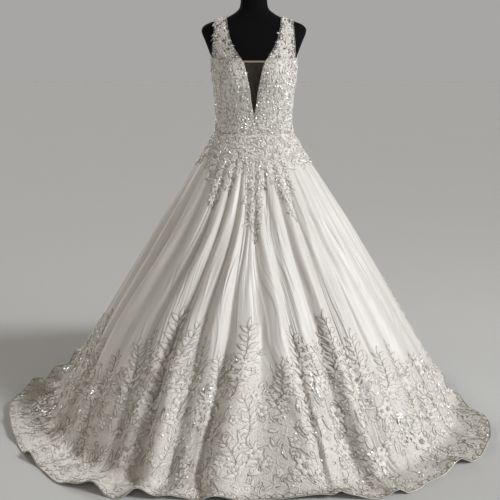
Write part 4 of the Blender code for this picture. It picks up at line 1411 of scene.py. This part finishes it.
# %% Lace over the straps
STRAP_OVERHANG = 0.12
STRAP_COLUMNS = 27
SEAM_CLEARANCE = 0.004
TOP_LEAF_COLUMNS = (3, 4, 22, 23)
TOP_LEAF_TURNS = (70, 110, -70, -110)
TOP_LEAF_STEP = 0.014
for side, hand in SIDES:
    strap_cloth = measured(strap_grid(side, STRAP_COLUMNS, STRAP_OVERHANG))
    lengths = strap_cloth["up"][-1]
    seed = 150 if side > 0 else 100
    for name, spacing, inset, turn, size in (
        ("small_blossom", 0.025, 6, (0, 360), (0.9, 1.2)),
        ("leaf", 0.027, 6, (-25, 25), (0.6, 0.9)),
        ("small_leaf", 0.0175, 4, (0, 360), (0.8, 1.2)),
        ("stitch", 0.0125, 4, (0, 360), (0.7, 1.1)),
        ("bead", 0.0085, 3, (0, 360), (0.8, 1.1)),
        ("sequin", 0.012, 4, (0, 360), (0.8, 1.1)),
    ):
        columns = (inset, STRAP_COLUMNS - 1 - inset)
        places = scattered(strap_cloth, SEAM_CLEARANCE, lengths.max(), spacing, seed, columns)
        own_length = lengths[np.rint(places[0]).astype(int)]
        places = places[:, places[1] < own_length - SEAM_CLEARANCE]
        lay_design("straps", strap_cloth, name, places, seed + 10, turn, size)
        seed += 1
    top = 0.5 * lengths.mean()
    column = np.tile(TOP_LEAF_COLUMNS, 2).astype(float)
    up = np.repeat((top - TOP_LEAF_STEP, top + TOP_LEAF_STEP), 4)
    lay_copies("straps", strap_cloth, "small_leaf", column, up, np.tile(TOP_LEAF_TURNS, 2), 1.1)

# %% Lace pieces
total = 0
for (region, finish), parts in sorted(lace.items()):
    points, faces = merged(parts)
    piece = add_piece(f"{region}_{finish}", points, faces, LACE_FINISHES[finish])
    total += len(faces)
    print(piece.name, len(faces), "triangles")
    if finish in ("bead", "sequin"):
        piece.data.shade_flat()
print("lace triangles:", total)

# %% [markdown]
# ## Light
# The dress was lit by a large window at its right, so each pleat is bright on its right side
# and grey on its left. A lamp close by alone would light the floor unevenly, so most of the
# light comes from a broad distant lamp, and a weak near one adds the soft shine on the
# satin. Two more distant lamps stand for the pale walls, and a pale sky fills the shadows.

# %% Floor, world and lights
scene.view_settings.view_transform = "Standard"
floor_finish = new_finish(
    "pale_floor", 1.0, (0.6235, 0.632, 0.636), (0.609, 0.617, 0.621), 1.5, 40.0, 0.0001,
    Specular_IOR_Level=0.0,
)
FLOOR_REACH = 60.0
corners = np.array([(-1, -1, 0), (1, -1, 0), (1, 1, 0), (-1, 1, 0)]) * FLOOR_REACH
mesh = bpy.data.meshes.new("floor")
mesh.from_pydata(corners.tolist(), [], [(0, 1, 2, 3)])
mesh.materials.append(floor_finish)
floor = bpy.data.objects.new("floor", mesh)
scene.collection.objects.link(floor)

HORIZON = (0.388, 0.381, 0.371, 1)
ZENITH = (0.172, 0.156, 0.130, 1)
SKY_FADE = (0.08, 0.5)
world = bpy.data.worlds.new("studio")
world.use_nodes = True
tree = world.node_tree
outward = add_node(tree, "TexCoord").outputs["Generated"]
upward = add_node(tree, "SeparateXYZ", {0: outward}).outputs["Z"]
colour = mixed(tree, ramp(tree, upward, *SKY_FADE), HORIZON, ZENITH)
tree.links.new(colour, tree.nodes["Background"].inputs["Color"])
scene.world = world


def add_lamp(name, side, front, up, softness, strength, colour):
    """A distant lamp whose light comes from a direction, softened by its width in degrees."""
    data = bpy.data.lights.new(name, "SUN")
    data.angle = np.radians(softness)
    data.energy = strength
    data.color = colour
    lamp = bpy.data.objects.new(name, data)
    lamp.rotation_euler = (np.arctan2(np.hypot(side, front), up), 0, np.arctan2(side, front))
    scene.collection.objects.link(lamp)


add_lamp("window", 0.765, 0.36, 0.545, 13, 1.60, (0.985, 0.99, 1.0))
add_lamp("bounce", -0.90, 0.10, 0.40, 24, 0.26, (1.0, 0.90, 0.76))
add_lamp("behind", -0.45, -0.80, 0.45, 24, 0.95, (1.0, 0.99, 0.97))

near = bpy.data.lights.new("near_window", "AREA")
near.size = 2.0
near.energy = 38
near_window = bpy.data.objects.new("near_window", near)
near_window.location = (3.0, -1.6, 2.6)
near_window.rotation_euler = (np.radians(57), 0, np.radians(58))
scene.collection.objects.link(near_window)
print("lights:", [light.name for light in bpy.data.lights])
